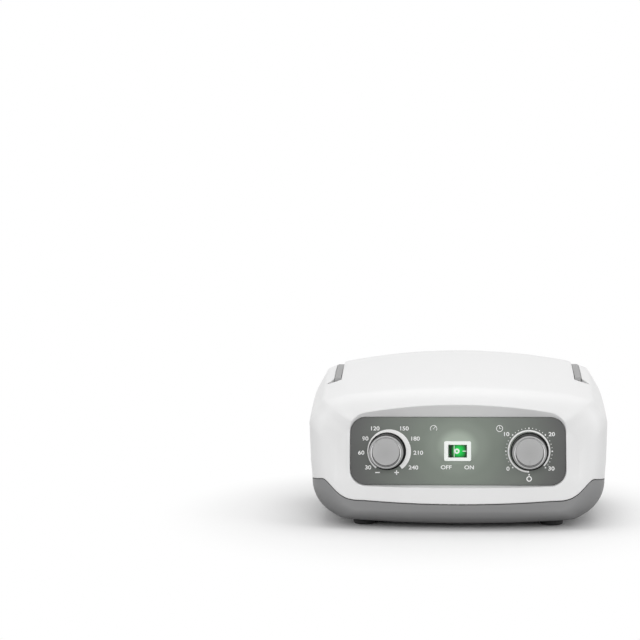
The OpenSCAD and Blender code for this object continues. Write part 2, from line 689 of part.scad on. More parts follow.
module air_sockets() color("#a8a8a8") rear_frame() {
    at_sockets() difference() {
        union() {
            rounded_plate(socket_w, socket_h, 4, 3);
            translate([0, 0, -9]) rounded_plate(socket_w - 4.6, socket_h - 4.6, 2.7, 9 + thin);
        }
        // shallow well round the nozzles, with its rim
        translate([0, 0, 1.4]) rounded_plate(socket_w - 3, socket_h - 6, 2.5, 4);
        for (i = [-1.5:1:1.5]) translate([i * nozzle_pitch, 0, -20])
            cylinder(d = nozzle_d / 2, h = 40);
    }
    at_nozzles() {
        tube(nozzle_d, nozzle_d / 2, nozzle_len + 1.4 - thin);
        // collar that the hose stops on
        tube(nozzle_d + 1, nozzle_d / 2, collar_h);
        translate([0, 0, -17]) tube(4, 2.5, 8 + thin);
    }
}
module socket_seals() color("#404040") rear_frame() at_nozzles()
    translate([0, 0, 1.4 + thin]) tube(nozzle_d + 2.8, nozzle_d + 1 + 2 * run_fit, 1);

// Feet and screws under the base
module rubber_feet() color("#404040") at_corners(foot_x, foot_y)
    rotate_extrude() polygon([[0, 0], [foot_d / 2 - 1, 0], [foot_d / 2, 1],
        [foot_d / 2, foot_h + foot_in], [0, foot_h + foot_in]]);
module housing_screws() color("#b0b0b0") at_screws() translate([0, 0, head_z]) difference() {
    union() {
        cylinder(d = screw_d, h = post_joint - head_z + 13);
        translate([0, 0, -2.4 - seam / 3]) cylinder(d = 6.6, h = 2.4);
        translate([0, 0, -1]) cylinder(d = screw_d, h = 1.1);
    }
    for (a = [0, 90]) rotate([0, 0, a]) translate([-2, -0.4, -3.4]) cube([4, 0.8, 2]);
}

// Linear diaphragm pump: its axis runs along X
pump_x = -41;
pump_y = 4;
pump_z = 44;
frame_w = 84;
frame_h = 50;
frame_d = 50;
frame_wall = 3;
mount_h = 8;
module at_pump() translate([pump_x, pump_y, pump_z]) children();
function pump_floor() = pump_z - frame_h / 2 - frame_wall;
module at_mounts() for (x = [-1, 1], y = [-1, 1])
    translate([pump_x + x * 30, pump_y + y * 20, 0]) children();
module pump_frame() color("#c4c4c4") at_pump() difference() {
    translate([-frame_w / 2, -frame_d / 2, -frame_h / 2 - frame_wall])
        cube([frame_w, frame_d, frame_h + frame_wall]);
    translate([-frame_w / 2 + frame_wall, -frame_d, -frame_h / 2])
        cube([frame_w - 2 * frame_wall, 2 * frame_d, 2 * frame_h]);
    rotate([0, 90, 0]) cylinder(d = diaphragm_d - 8, h = 2 * frame_w, center = true);
    for (x = [-1, 1], y = [-1, 1]) translate([x * 30, y * 20, -frame_h])
        cylinder(d = 4, h = frame_h);
}
core_w = 44;
core_t = 14;
core_gap = 15;
module pump_core() color("#707478") at_pump() for (s = [-1, 1])
    scale_side(s) translate([-core_w / 2, core_gap / 2, -frame_h / 2 + seam / 3]) difference() {
        cube([core_w, core_t, 44]);
        // two windows make the three limbs of the laminations
        for (x = [-1, 1]) translate([core_w / 2 + x * 10.5 - 4, -eps, 8])
            cube([8, core_t + 2 * eps, 28]);
    }
module scale_side(s) if (s > 0) children(); else mirror([0, 1, 0]) children();
module pump_coils() color("#b87840") at_pump() for (s = [-1, 1]) scale_side(s)
    translate([-6.6 - 7.4, core_gap / 2 + core_t + seam / 3, -12]) difference() {
        cube([28, 3.4, 24]);
        translate([7, -eps, 6]) cube([14, 4.4 + eps, 12]);
    }
module pump_armature() color("#a0a4a8") at_pump() difference() {
    union() {
        translate([-26, -4, -9]) cube([52, 8, 18]);
        rotate([0, 90, 0]) cylinder(d = 5, h = frame_w + 2 * frame_wall, center = true);
    }
    for (x = [-13, 13]) translate([x - 6, -5, -6]) cube([12, 10, 12]);
}
module armature_magnets() color("#50545c") at_pump()
    for (x = [-13, 13]) translate([x - 6 + 0.05, -3.6, -6 + 0.05]) cube([11.9, 7.2, 11.9]);
module diaphragms() color("#303030") at_pump() for (s = [-1, 1])
    translate([s * (frame_w / 2 + seam / 3), 0, 0]) rotate([0, s * 90, 0]) difference() {
        cylinder(d = diaphragm_d, h = 2);
        translate([0, 0, -eps]) cylinder(d = 5 + 0.6, h = 4);
    }
head_l = 14;
module pump_heads() color("#dcdcdc") at_pump() for (s = [-1, 1])
    translate([s * (frame_w / 2 + 2 + 2 * seam / 3), 0, 0]) rotate([0, s * 90, 0]) {
        difference() {
            cylinder(d = diaphragm_d + 4, h = head_l);
            translate([0, 0, -eps]) cylinder(d = diaphragm_d - 10, h = 2 * stroke + 4 + eps);
        }
        // outlet barb, up
        translate([0, 0, 10]) rotate([0, -s * 90, 0])
            translate([0, 0, diaphragm_d / 2]) tube(5, 3, 10);
    }
module pump_mounts() color("#303030") at_mounts() translate([0, 0, seat_z + seam / 3])
    difference() {
        cylinder(d = 12, h = pump_floor() - seat_z - 2 * seam / 3);
        translate([0, 0, 2]) tube(13, 9, 2.6);
    }

// Rotary distributor that sends the air to each nozzle in turn
dist_x = pump_x + frame_w / 2 + 40;
dist_y = 22;
dist_z = 46;
dist_h = 16;
manifold_side = 5.25;
module at_distributor() translate([dist_x, dist_y, dist_z]) children();
module distributor_body() color("#d8d8d8") at_distributor() {
    difference() {
        union() {
            cylinder(d = rotor_d + 8, h = dist_h);
            translate([-socket_x[1] - 1.5 * nozzle_pitch - manifold_side - dist_x, 20, 0])
                cube([socket_x[1] - socket_x[0] + 3 * nozzle_pitch + 2 * manifold_side, 6, dist_h]);
        }
        translate([0, 0, -eps]) cylinder(d = rotor_d + 2 * run_fit, h = 7 + eps);
        translate([0, 0, 6]) cylinder(d = 3, h = dist_h);
    }
    // skirt that stands on the motor
    translate([0, 0, seam / 3 - motor_drop])
        tube(rotor_d + 8, rotor_d - 4, motor_drop - seam / 3 + thin);
    // inlet on top, outlets to the rear
    translate([0, 0, dist_h - thin]) tube(5, 3, 9);
    for (x = socket_x, i = [-1.5:1:1.5])
        translate([-x - dist_x + i * nozzle_pitch, 26 - thin, dist_h / 2]) rotate([-90, 0, 0])
            tube(4, 2.5, 7);
}
module distributor_rotor() color("#f0f0e0") at_distributor() difference() {
    union() {
        translate([0, 0, 0.4]) cylinder(d = rotor_d, h = 6);
        translate([0, 0, 1 - motor_drop]) cylinder(d = 8, h = motor_drop);
    }
    // the kidney-shaped port
    translate([0, 0, -20]) intersection() {
        tube(28, 20, 40);
        cube([20, 20, 40]);
    }
    translate([0, 0, 1 - motor_drop - eps]) cylinder(d = 4 + 2 * run_fit, h = 7);
}
motor_drop = 9;
motor_h = 16;
leg_x = 22;
module at_motor_legs() for (x = [-leg_x, leg_x]) translate([dist_x + x, dist_y, 0]) children();
module distributor_motor() color("#b0b4b8") {
    at_distributor() {
        translate([0, 0, -motor_drop - motor_h]) cylinder(d = 40, h = motor_h);
        translate([0, 0, -motor_drop - motor_h - 2]) rounded_plate(54, 30, 6, 2 + thin);
        translate([0, 0, -motor_drop - thin]) cylinder(d = 4, h = 6);
    }
    at_motor_legs() translate([0, 0, seat_z + seam / 3])
        cylinder(d = 6, h = dist_z - motor_drop - motor_h - seat_z - 1);
}

// Hoses from the pump heads and the regulator to the distributor, and on to the sockets
hose_d = 8;
hose_z = pump_z + diaphragm_d / 2 + 22;
module hose_leg(from, to) {
    v = to - from;
    len_v = norm(v);
    translate(from) rotate([0, acos(v[2] / len_v), atan2(v[1], v[0])])
        cylinder(d = hose_d, h = len_v);
    translate(to) sphere(d = hose_d + 0.4);
}
head_x = frame_w / 2 + 2 + 2 * seam / 3 + 10;
// A point on the regulator's barb at height h above the dial's axis
function valve_end(h) = let (d = panel_t + valve_out) [-dial_x,
    -panel_y + d * cos(lean) + h * sin(lean), panel_z - d * sin(lean) + h * cos(lean)];
module air_hoses() color("#e0e0dc") {
    difference() {
        union() {
            for (s = [-1, 1]) hose_leg([pump_x + s * head_x, pump_y, pump_z + diaphragm_d / 2 + 3],
                [pump_x + s * head_x, pump_y, hose_z]);
            hose_leg([pump_x - head_x, pump_y, hose_z], [dist_x, pump_y, hose_z]);
            hose_leg([dist_x, pump_y, hose_z], [dist_x, dist_y, hose_z]);
            hose_leg([dist_x, dist_y, hose_z], [dist_x, dist_y, dist_z + dist_h + 1]);
            hose_leg(valve_end(14), valve_end(30));
            hose_leg(valve_end(30), [-dial_x, pump_y, hose_z]);
        }
        panel_frame() translate([-dial_x, 0, -panel_t - valve_out]) rotate([-90, 0, 0])
            cylinder(d = 5 + 2 * run_fit, h = 24.2);
        for (s = [-1, 1]) translate([pump_x + s * head_x, pump_y, pump_z])
            cylinder(d = 5 + 2 * run_fit, h = diaphragm_d / 2 + 10.2);
        translate([dist_x, dist_y, dist_z]) cylinder(d = 5 + 2 * run_fit, h = dist_h + 9.2);
        translate([dist_x, dist_y, dist_z + dist_h - 4]) cylinder(d = 12, h = 4.6);
    }
    at_outlets() tube(6.4, 4 + 2 * run_fit, rear_gap());
}
// The short hoses between the distributor's outlets and the sockets
function rear_gap() = rear_face - 9 - (dist_y + 26) - 2 * seam;
module at_outlets() for (x = socket_x, i = [-1.5:1:1.5])
    translate([-x + i * nozzle_pitch, dist_y + 26 + seam, dist_z + dist_h / 2])
        rotate([-90, 0, 0]) children();

// Control board on four posts
board_side = 37;
board_left = 7;
board_w = half_w - board_side - board_left;
board_x = board_left + board_w / 2;
board_y = -28;
board_d = 40;
board_z = 15.5;
board_t = 1.6;
module at_posts() for (x = [-1, 1], y = [-1, 1])
    translate([board_x + x * (board_w / 2 - 5), board_y + y * (board_d / 2 - 5), 0]) children();
module circuit_board() color("#2f6b45") difference() {
    translate([board_x - board_w / 2, board_y - board_d / 2, board_z])
        cube([board_w, board_d, board_t]);
    at_posts() translate([0, 0, board_z - eps]) cylinder(d = 3.2, h = 4);
}
module board_parts() color("#404848") translate([board_x, board_y, board_z + board_t]) {
    translate([-20, -8, 0]) cube([16, 16, 12]);
    translate([2, -12, 0]) cube([14, 6, 10]);
    for (i = [0:2]) translate([6 + 11 * i, 8, 0]) cylinder(d = 8, h = 14 - 2 * i);
    translate([board_w / 2 - 17, -11, 0]) cube([8, 10, 6]);
}
module board_posts() color("#d0d0d0") at_posts() {
    translate([0, 0, seat_z + seam / 3]) cylinder(d = 6, h = board_z - seat_z - 2 * seam / 3);
    translate([0, 0, board_z - 2]) cylinder(d = 2.8, h = board_t + 2.2);
    translate([0, 0, board_z + board_t + seam / 3]) cylinder(d = 5, h = 1.6);
}

top_shell();
base_shell();
carry_handle();
handle_pivots();
front_panel();
pressure_knob();
pressure_knob_cap();
pressure_shaft();
pressure_nut();
pressure_valve();
timer_knob();
timer_knob_cap();
timer_shaft();
timer_nut();
timer_body();
switch_bezel();
switch_rocker();
switch_terminals();
rear_panel();
panel_screws();
mains_inlet();
inlet_pins();
fuse_holder();
fuse_cap();
glass_fuse();
air_sockets();
socket_seals();
rubber_feet();
housing_screws();
pump_frame();
pump_core();
pump_coils();
pump_armature();
armature_magnets();
diaphragms();
pump_heads();
pump_mounts();
distributor_body();
distributor_rotor();
distributor_motor();
air_hoses();
circuit_board();
board_parts();
board_posts();
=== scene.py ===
"""Looks of a table-top air pump for compression cuffs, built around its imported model."""

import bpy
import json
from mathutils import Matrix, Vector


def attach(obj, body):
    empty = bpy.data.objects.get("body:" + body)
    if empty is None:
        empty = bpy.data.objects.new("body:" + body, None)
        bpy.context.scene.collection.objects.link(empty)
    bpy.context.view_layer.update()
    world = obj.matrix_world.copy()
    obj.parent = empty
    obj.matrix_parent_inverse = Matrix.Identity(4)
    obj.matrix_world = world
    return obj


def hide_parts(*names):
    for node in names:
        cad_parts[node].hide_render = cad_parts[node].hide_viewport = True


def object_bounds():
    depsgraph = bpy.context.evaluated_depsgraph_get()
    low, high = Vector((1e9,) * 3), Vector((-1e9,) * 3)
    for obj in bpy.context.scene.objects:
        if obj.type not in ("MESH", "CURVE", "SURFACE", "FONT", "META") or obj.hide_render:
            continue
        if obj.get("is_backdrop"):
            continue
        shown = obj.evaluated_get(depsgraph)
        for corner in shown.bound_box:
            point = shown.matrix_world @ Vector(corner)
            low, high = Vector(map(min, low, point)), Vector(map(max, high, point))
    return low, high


bl_info = {
    "name": "Compression Therapy Pump",
    "version": (1, 0, 0),
    "blender": (4, 5, 0),
    "location": "View3D > Sidebar > Therapy Pump",
    "description": "Builds the housing, panel, dials, rocker, handle and rear fittings of an air pump",
    "category": "Object",
}

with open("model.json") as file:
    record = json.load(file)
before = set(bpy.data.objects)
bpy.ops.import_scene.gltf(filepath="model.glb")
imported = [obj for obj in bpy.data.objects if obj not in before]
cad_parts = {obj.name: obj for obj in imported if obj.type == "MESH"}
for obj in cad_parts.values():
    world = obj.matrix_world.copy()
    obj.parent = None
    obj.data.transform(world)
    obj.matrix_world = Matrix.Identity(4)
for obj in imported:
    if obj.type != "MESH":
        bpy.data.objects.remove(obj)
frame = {"nodes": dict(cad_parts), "record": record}
CAD_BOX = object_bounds()

import json
from math import cos, pi, radians, sin, sqrt, tan

import bmesh
import bpy
from bpy.props import FloatProperty, FloatVectorProperty, IntProperty
from mathutils import Matrix, Vector

MM = 0.001

# ---------------------------------------------------------------------------------------
# Sizes of the housing's form, in millimetres, as the mouldings were drawn
# ---------------------------------------------------------------------------------------
HALF_W, BODY_H, WALL = 118.0, 132.0, 2.6
FRONT_Y, REAR_Y, FRONT_BOW, REAR_BOW, LEAN = 95.5, 88.0, 10.0, 3.0, 5.0
CREST_Y, DECK_DROP, BROW_R, DOME_DROP = 15.0, 21.0, 24.0, 8.5
SIDE_R, LOW_R, SIDE_Z = 27.0, 20.0, 42.0
FOOT_H, SEAM = 3.0, 0.3
LIP_R, LIP_X, LIP_Z = 6.0, HALF_W - 15.4, BODY_H - 19.5
LIP_ANGLES = (71, 50, 30)
SHOULDER_TILT, SHOULDER_R = 30, 24.0
SHOULDER_X = HALF_W - SHOULDER_R
SHOULDER_Z = (LIP_X * cos(radians(SHOULDER_TILT)) + LIP_Z * sin(radians(SHOULDER_TILT)) + LIP_R
              - SHOULDER_R - SHOULDER_X * cos(radians(SHOULDER_TILT))) / sin(radians(SHOULDER_TILT))
SHOULDER_ANGLES = (30, 20, 10, 0)
DOME_X = LIP_X - 12.4
CORNER_RX, CORNER_RZ, CORNER_X, CORNER_Z = 32.0, 30.0, HALF_W - 34, FOOT_H + 32
CORNER_ANGLES = (0, -15, -30, -45, -60, -75, -90)
FACE_X, FACE_R, FACE_LOW_R, FACE_LOW_Z = HALF_W - 25, 20.0, 18.0, FOOT_H + 13
FACE_TOP = BODY_H - DECK_DROP - BROW_R * sin(radians(70))
FACE_ANGLES = (80, 65, 52, 40, 26, 12, 0)
FACE_CROWN, SIDE_CROWN, FLOOR_CROWN = 2.0, 0.7, 0.6
PART_Z, PART_RISE, PART_X, PART_RUN, PART_LIFT, PART_FALL = 21.1, 15.8, 72.0, 34.0, 2.0, 2.2
PART_BEND = 2.05
PANEL_W, PANEL_H, PANEL_R, PANEL_T = 167.0, 52.6, 11.8, 2.5
PANEL_Y, PANEL_Z, DIAL_X = FRONT_Y - 9.5, 61.1, 55.3
LEDGE, FLARE_D, FLARE_TOP, FLARE_SIDE, FLARE_LOW = 4.0, 12.0, 14.0, 5.0, 2.4
REAR_W, REAR_H, REAR_R, REAR_T, REAR_Z = 168.0, 44.0, 6.0, 2.5, 62.0
REAR_FACE = REAR_Y - REAR_BOW * (REAR_W / 2 / FACE_X) ** 2 - 1.5
HINGE_Y, HINGE_Z, ARM_T, ARM_GAP, BAR_Y, BAR_W = 25.5, 104.6, 5.0, 0.6, 58.0, 15.0
SLOT_X = LIP_X - 6.3
SLOT_W, SLOT_FLOOR, SLOT_FRONT = ARM_T + 2 * ARM_GAP, HINGE_Z - 10.6, HINGE_Y + 13.8
TROUGH_FRONT, TROUGH_REAR = BAR_Y - BAR_W / 2 - 9, BAR_Y + BAR_W / 2 + 3.5
SCREW_X, SCREW_Y, FOOT_X, FOOT_Y, FOOT_D, FOOT_IN = 90.0, 36.0, 74.0, 60.0, 18.0, 3.2
KNOB_H, KNOB_GAP, CAP_T = 13.5, 0.7, 1.2
ROCKER_TILT, ROCKER_AXIS, ROCKER_HALF_H, TRUNNION_R, TRUNNION_HALF = 7.0, -3.0, 4.6, 1.2, 5.9
LENS = [(-5.4, -2.0), (-5.9, 0.0), (-6.6, 4.75), (-3.2, 4.0), (6.25, 4.9), (5.9, 0.0), (5.4, -2.0)]
FOLD_X, FOLD_Z = LENS[3]
SLOPE_LEFT, SLOPE_RIGHT, MARK_Z, MARK_T = 0.245, 0.095, FOLD_Z + 0.03, 0.06
OPENING_W, OPENING_H, LINER_T = 14.36, 9.76, 0.06
# black ring round each dial, a painted shadow of the gap under its knob, and its offset; the pressure
# scale's crescent starts at its outer edge
GAP_X, GAP_Y, GAP_R, GAP_W = 0.5, -0.3, 14.7, 9.8
FIGURE_X, FIGURE_Y, FIGURE_WIDTH = 0.8, -0.15, 1.16

# Places in metres and turns in degrees
FLOOR_MIDDLE, FLOOR_SPREAD = (-0.022, 0, 0), (8.2, 7.0, 0)
CAMERA_PLACE, CAMERA_TURN, CAMERA_TILT, CAMERA_ROLL = (0, -1.5236, 0.25037), 4.2445, 86.557, -0.411

PANEL = (Matrix.Translation((0, -PANEL_Y * MM, PANEL_Z * MM))
         @ Matrix.Rotation(radians(90 - LEAN), 4, "X"))
REAR = (Matrix.Translation((0, REAR_FACE * MM, REAR_Z * MM))
        @ Matrix.Rotation(pi, 4, "Z") @ Matrix.Rotation(pi / 2, 4, "X"))


# ---------------------------------------------------------------------------------------
# Settings
# ---------------------------------------------------------------------------------------
def colour(name, value, words):
    """A setting that holds a colour."""
    return FloatVectorProperty(name=name, description=words, subtype="COLOR", size=3,
                               min=0.0, max=1.0, default=value)


class PumpHousingSettings(bpy.types.PropertyGroup):
    """Colours and fineness of the two mouldings and the handle."""
    white: colour("Upper moulding", (0.83, 0.83, 0.83), "Colour of the upper moulding")
    grey: colour("Lower moulding", (0.245, 0.245, 0.247), "Colour of the lower moulding")
    handle: colour("Handle", (0.34, 0.34, 0.34), "Colour of the carrying handle")
    groove: FloatProperty(name="Parting groove", description="Width of the groove between the mouldings",
                          default=0.0007, min=0.0003, max=0.002, unit="LENGTH")
    steps: IntProperty(name="Steps", description="Rows over each rounded end", default=22, min=6, max=40)


class PumpPanelSettings(bpy.types.PropertyGroup):
    """Colours and print of the control panel."""
    # the panel's colour is painted light: a green glow round the lit switch (middle) fading to shade at its
    # ends (edge)
    edge: colour("Panel painted end shade", (0.078, 0.078, 0.078), "Colour of the panel towards its ends")
    middle: colour("Panel painted glow", (0.232, 0.268, 0.228), "Colour of the panel round the lit switch")
    knob: colour("Knobs", (0.40, 0.40, 0.40), "Colour of the dial knobs")
    lamp: colour("Switch lamp", (0.0, 0.58, 0.07), "Colour of the lit rocker")
    digit: FloatProperty(name="Digit height", description="Height of the printed numbers",
                         default=0.00325, min=0.002, max=0.005, unit="LENGTH")
    ink: FloatProperty(name="Ink height", description="Thickness of the raised print",
                       default=0.00006, min=0.00002, max=0.0003, unit="LENGTH")


class PumpStageSettings(bpy.types.PropertyGroup):
    """Floor, lamps and camera."""
    floor: colour("Floor", (0.5, 0.5, 0.5), "Colour of the floor as the pump sees it")
    top: FloatProperty(name="Top lamp", description="Power of the large lamp overhead",
                       default=5.6, min=0.0, max=100.0, unit="POWER")
    front: FloatProperty(name="Front lamp", description="Power of the lamp behind the camera",
                         default=9.4, min=0.0, max=100.0, unit="POWER")
    side: FloatProperty(name="Side lamp", description="Power of the lamp at each side",
                        default=4.4, min=0.0, max=100.0, unit="POWER")
    world: FloatProperty(name="Room light", description="Strength of the even light of the room",
                         default=0.56, min=0.0, max=2.0)
    lens: FloatProperty(name="Lens", description="Focal length of the camera", default=104.22,
                        min=50.0, max=200.0)


# ---------------------------------------------------------------------------------------
# Node groups and materials
# ---------------------------------------------------------------------------------------
def node_group(name, inputs, outputs):
    """A new shader group with its sockets, its entry node and its exit node."""
    tree = bpy.data.node_groups.new(name, "ShaderNodeTree")
    for label, kind, value in inputs:
        socket = tree.interface.new_socket(name=label, in_out="INPUT", socket_type=kind)
        socket.default_value = value
    for label, kind in outputs:
        tree.interface.new_socket(name=label, in_out="OUTPUT", socket_type=kind)
    return tree, tree.nodes.new("NodeGroupInput"), tree.nodes.new("NodeGroupOutput")


def feed(tree, node, links):
    """Sets a node's inputs, by name or number, to values or to the outputs of other nodes."""
    for key, value in links.items():
        if isinstance(value, bpy.types.NodeSocket):
            tree.links.new(value, node.inputs[key])
        else:
            node.inputs[key].default_value = value


def add(tree, kind, links=None, **values):
    """Adds a node, sets its own values and then its inputs."""
    node = tree.nodes.new(kind)
    for key, value in values.items():
        setattr(node, key, value)
    feed(tree, node, links or {})
    return node


def spot(tree):
    """The place of each shaded point, in the object's own axes."""
    return add(tree, "ShaderNodeTexCoord").outputs["Object"]


def maths(tree, operation, *values):
    """A node that works out a number from its inputs, which are given in order."""
    return add(tree, "ShaderNodeMath", dict(enumerate(values)), operation=operation)


def vectors(tree, operation, *values):
    """A node that works out a vector or a length from its inputs, which are given in order."""
    return add(tree, "ShaderNodeVectorMath", dict(enumerate(values)), operation=operation)


def moulded_surface():
    """Plastic fresh from its mould: a fine spark grain, slow flow marks and a slight mottle."""
    name = "Moulded surface"
    if name in bpy.data.node_groups:
        return bpy.data.node_groups[name]
    tree, entry, out = node_group(
        name,
        (("Color", "NodeSocketColor", (0.5, 0.5, 0.5, 1)), ("Roughness", "NodeSocketFloat", 0.4),
         ("Grain", "NodeSocketFloat", 3000.0), ("Depth", "NodeSocketFloat", 0.1),
         ("Mottle", "NodeSocketFloat", 0.03), ("Edge", "NodeSocketFloat", 0.0003)),
        (("Color", "NodeSocketColor"), ("Roughness", "NodeSocketFloat"), ("Normal", "NodeSocketVector")))
    place = spot(tree)
    fine = add(tree, "ShaderNodeTexNoise", {"Vector": place,
                                            "Scale": entry.outputs["Grain"], "Detail": 3.0})
    slow = add(tree, "ShaderNodeTexNoise", {"Vector": place, "Scale": 14.0,
                                            "Detail": 4.0, "Distortion": 0.6})
    shade = add(tree, "ShaderNodeMapRange", {"Value": slow.outputs["Fac"], "From Min": 0.3, "From Max": 0.7,
                                             "To Min": -1.0, "To Max": 1.0})
    amount = maths(tree, "MULTIPLY", shade.outputs["Result"], entry.outputs["Mottle"])
    tint = maths(tree, "ADD", amount.outputs[0], 1.0)
    toned = add(tree, "ShaderNodeVectorMath", {0: entry.outputs["Color"], "Scale": tint.outputs[0]},
                operation="SCALE")
    dull = maths(tree, "MULTIPLY_ADD", amount.outputs[0], 1.6, entry.outputs["Roughness"])
    rough = maths(tree, "MULTIPLY_ADD", fine.outputs["Fac"], 0.05, dull.outputs[0])
    edge = add(tree, "ShaderNodeBevel", {"Radius": entry.outputs["Edge"]}, samples=4)
    bump = add(tree, "ShaderNodeBump", {"Strength": entry.outputs["Depth"], "Distance": 0.0002,
                                        "Height": fine.outputs["Fac"], "Normal": edge.outputs["Normal"]})
    feed(tree, out, {"Color": toned.outputs["Vector"], "Roughness": rough.outputs[0],
                     "Normal": bump.outputs["Normal"]})
    return tree


def brushed_surface():
    """Metal with drawn lines along X and a little tarnish."""
    name = "Drawn metal"
    if name in bpy.data.node_groups:
        return bpy.data.node_groups[name]
    tree, entry, out = node_group(
        name, (("Color", "NodeSocketColor", (0.5, 0.5, 0.5, 1)), ("Roughness", "NodeSocketFloat", 0.3)),
        (("Color", "NodeSocketColor"), ("Roughness", "NodeSocketFloat"), ("Normal", "NodeSocketVector")))
    place = spot(tree)
    drawn = add(tree, "ShaderNodeMapping", {"Vector": place, "Scale": (60, 1800, 1800)})
    lines = add(tree, "ShaderNodeTexNoise", {"Vector": drawn.outputs["Vector"], "Scale": 1.0, "Detail": 3.0})
    stain = add(tree, "ShaderNodeTexNoise", {"Vector": place, "Scale": 120.0})
    span = add(tree, "ShaderNodeMapRange", {"Value": stain.outputs["Fac"], "To Min": 0.85, "To Max": 1.1})
    toned = add(tree, "ShaderNodeVectorMath", {0: entry.outputs["Color"], "Scale": span.outputs["Result"]},
                operation="SCALE")
    rough = maths(tree, "MULTIPLY_ADD", lines.outputs["Fac"], 0.2, entry.outputs["Roughness"])
    bump = add(tree, "ShaderNodeBump", {"Strength": 0.12, "Distance": 0.0001,
                                        "Height": lines.outputs["Fac"]})
    feed(tree, out, {"Color": toned.outputs["Vector"], "Roughness": rough.outputs[0],
                     "Normal": bump.outputs["Normal"]})
    return tree


def shader_of(name):
    """A new material, its tree and its Principled shader."""
    mat = bpy.data.materials.new(name)
    mat.use_nodes = True
    return mat, mat.node_tree, mat.node_tree.nodes["Principled BSDF"]


def once(make):
    """Lets a material be made at its first use and found by its name from then on."""
    def found(name, *values, **more):
        return bpy.data.materials.get(name) or make(name, *values, **more)
    return found


def surfaced(name, surface, **values):
    """A material whose colour, roughness and relief come from a surface group."""
    mat, tree, shader = shader_of(name)
    group = add(tree, "ShaderNodeGroup", node_tree=surface)
    for key, value in values.items():
        group.inputs[key].default_value = value
    for result, entry in (("Color", "Base Color"), ("Roughness", "Roughness"), ("Normal", "Normal")):
        tree.links.new(group.outputs[result], shader.inputs[entry])
    return mat, shader, group


@once
def plastic(name, tone, roughness=0.42, grain=3000.0, depth=0.1, mottle=0.02, coat=0.0, source=None,
            edge=0.0003):
    """Moulded plastic or rubber. A tone that varies over the piece comes from source."""
    mat, shader, group = surfaced(name, moulded_surface(), Color=(*tone, 1), Roughness=roughness,
                                  Grain=grain, Depth=depth, Mottle=mottle, Edge=edge)
    if source:
        feed(mat.node_tree, group, {"Color": source(mat.node_tree)})
    feed(mat.node_tree, shader, {"Coat Weight": coat, "Coat Roughness": 0.2})
    return mat


@once
def metal(name, tone, roughness=0.28):
    """Plated, turned or pressed metal."""
    mat, shader, _ = surfaced(name, brushed_surface(), Color=(*tone, 1), Roughness=roughness)
    shader.inputs["Metallic"].default_value = 1.0
    return mat


def reach_from(tree, centre, stretch):
    """Each place as seen from a point, stretched along the axes."""
    place = spot(tree)
    moved = vectors(tree, "SUBTRACT", place, centre)
    return vectors(tree, "MULTIPLY", moved.outputs[0], stretch)


def colour_ramp(tree, value, stops):
    """Colours over a number from 0 to 1; the first two stops are the ramp's own."""
    ramp = add(tree, "ShaderNodeValToRGB", {"Fac": value})
    for i, (at, tone) in enumerate(stops):
        if i < 2:
            stop = ramp.color_ramp.elements[i]
            stop.position = at
        else:
            stop = ramp.color_ramp.elements.new(at)
        stop.color = (*tone, 1)
    return ramp


def distance_ramp(tree, centre, stops, stretch=(1, 1, 1)):
    """A colour that changes with the distance from a point of the panel's face, in millimetres."""
    shaped = reach_from(tree, centre, stretch)
    far = vectors(tree, "LENGTH", shaped.outputs[0])
    reach = stops[-1][0]
    part = maths(tree, "DIVIDE", far.outputs["Value"], reach * MM)
    ramp = colour_ramp(tree, part.outputs[0], [(at / reach, tone) for at, tone in stops])
    ramp.color_ramp.interpolation = "EASE"
    return ramp.outputs["Color"]


def panel_film_painted_glow():
    """Printed film of the panel, with a painted green glow of the lit switch round it and painted shade
    towards its ends.
    """
    look = bpy.context.scene.pump_panel
    edge, middle = Vector(look.edge), Vector(look.middle)
    # painted glow of the switch's lamp near the switch, fading to painted shade towards the panel's ends
    stops = [(0, middle * 1.7), (9, middle * 1.6), (18, middle * 0.98), (30, middle * 0.8),
             (48, middle.lerp(edge, 0.5)), (92, edge)]
    centre = PANEL @ Vector((0, 3.5 * MM, 0))
    return plastic("Panel film", edge, 0.5, 5000.0, 0.12, 0.015,
                   source=lambda tree: distance_ramp(tree, centre, stops, (1.0, 1.0, 1.15)))


@once
def turned_face(name, tone, x):
    """Flat disc with the fine turned rings of a dial's cap, centred on the dial's axis."""
    mat, tree, shader = shader_of(name)
    centre = PANEL @ Vector((x * MM, 0, 0))
    far = reach_from(tree, centre, (1, 0, 1))
    radius = vectors(tree, "LENGTH", far.outputs[0])
    rings = maths(tree, "MULTIPLY", radius.outputs["Value"], 9000.0)
    wave = maths(tree, "SINE", rings.outputs[0])
    # painted sheen: the cap is made a little lighter from its centre to its rim
    shade = add(tree, "ShaderNodeMapRange", {"Value": radius.outputs["Value"], "From Max": 0.011,
                                             "To Min": 0.94, "To Max": 1.06})
    toned = add(tree, "ShaderNodeVectorMath", {0: (*tone,), "Scale": shade.outputs["Result"]},
                operation="SCALE")
    bump = add(tree, "ShaderNodeBump", {"Strength": 0.06, "Distance": 0.00005, "Height": wave.outputs[0]})
    feed(tree, shader, {"Base Color": toned.outputs["Vector"], "Normal": bump.outputs["Normal"],
                        "Roughness": 0.42})
    return mat


def grip_with_painted_highlights(name, tone, x):
    """Moulded grip, black at its skirt, with a painted highlight on the lip round its cap and painted shade
    in the groove inside it.
    """
    tone = Vector(tone)
    painted_highlight, black = Vector((0.9, 0.9, 0.9)), Vector((0.01, 0.01, 0.01))
    # painted shade line inside the lip, painted highlight on the lip, a painted lighter ring outside it,
    # then black at the skirt
    stops = [(0, tone), (10.9, tone * 0.5), (11.15, painted_highlight), (11.6, painted_highlight), (11.95, tone * 0.7),
             (12.4, tone * 1.2), (13.1, tone * 0.95), (13.4, black)]
    centre = PANEL @ Vector((x * MM, 0, 0))
    return plastic(name, tone, 0.34, 3200.0, 0.05, 0.02, 0.1,
                   source=lambda tree: distance_ramp(tree, centre, stops, (1, 0, 1)))


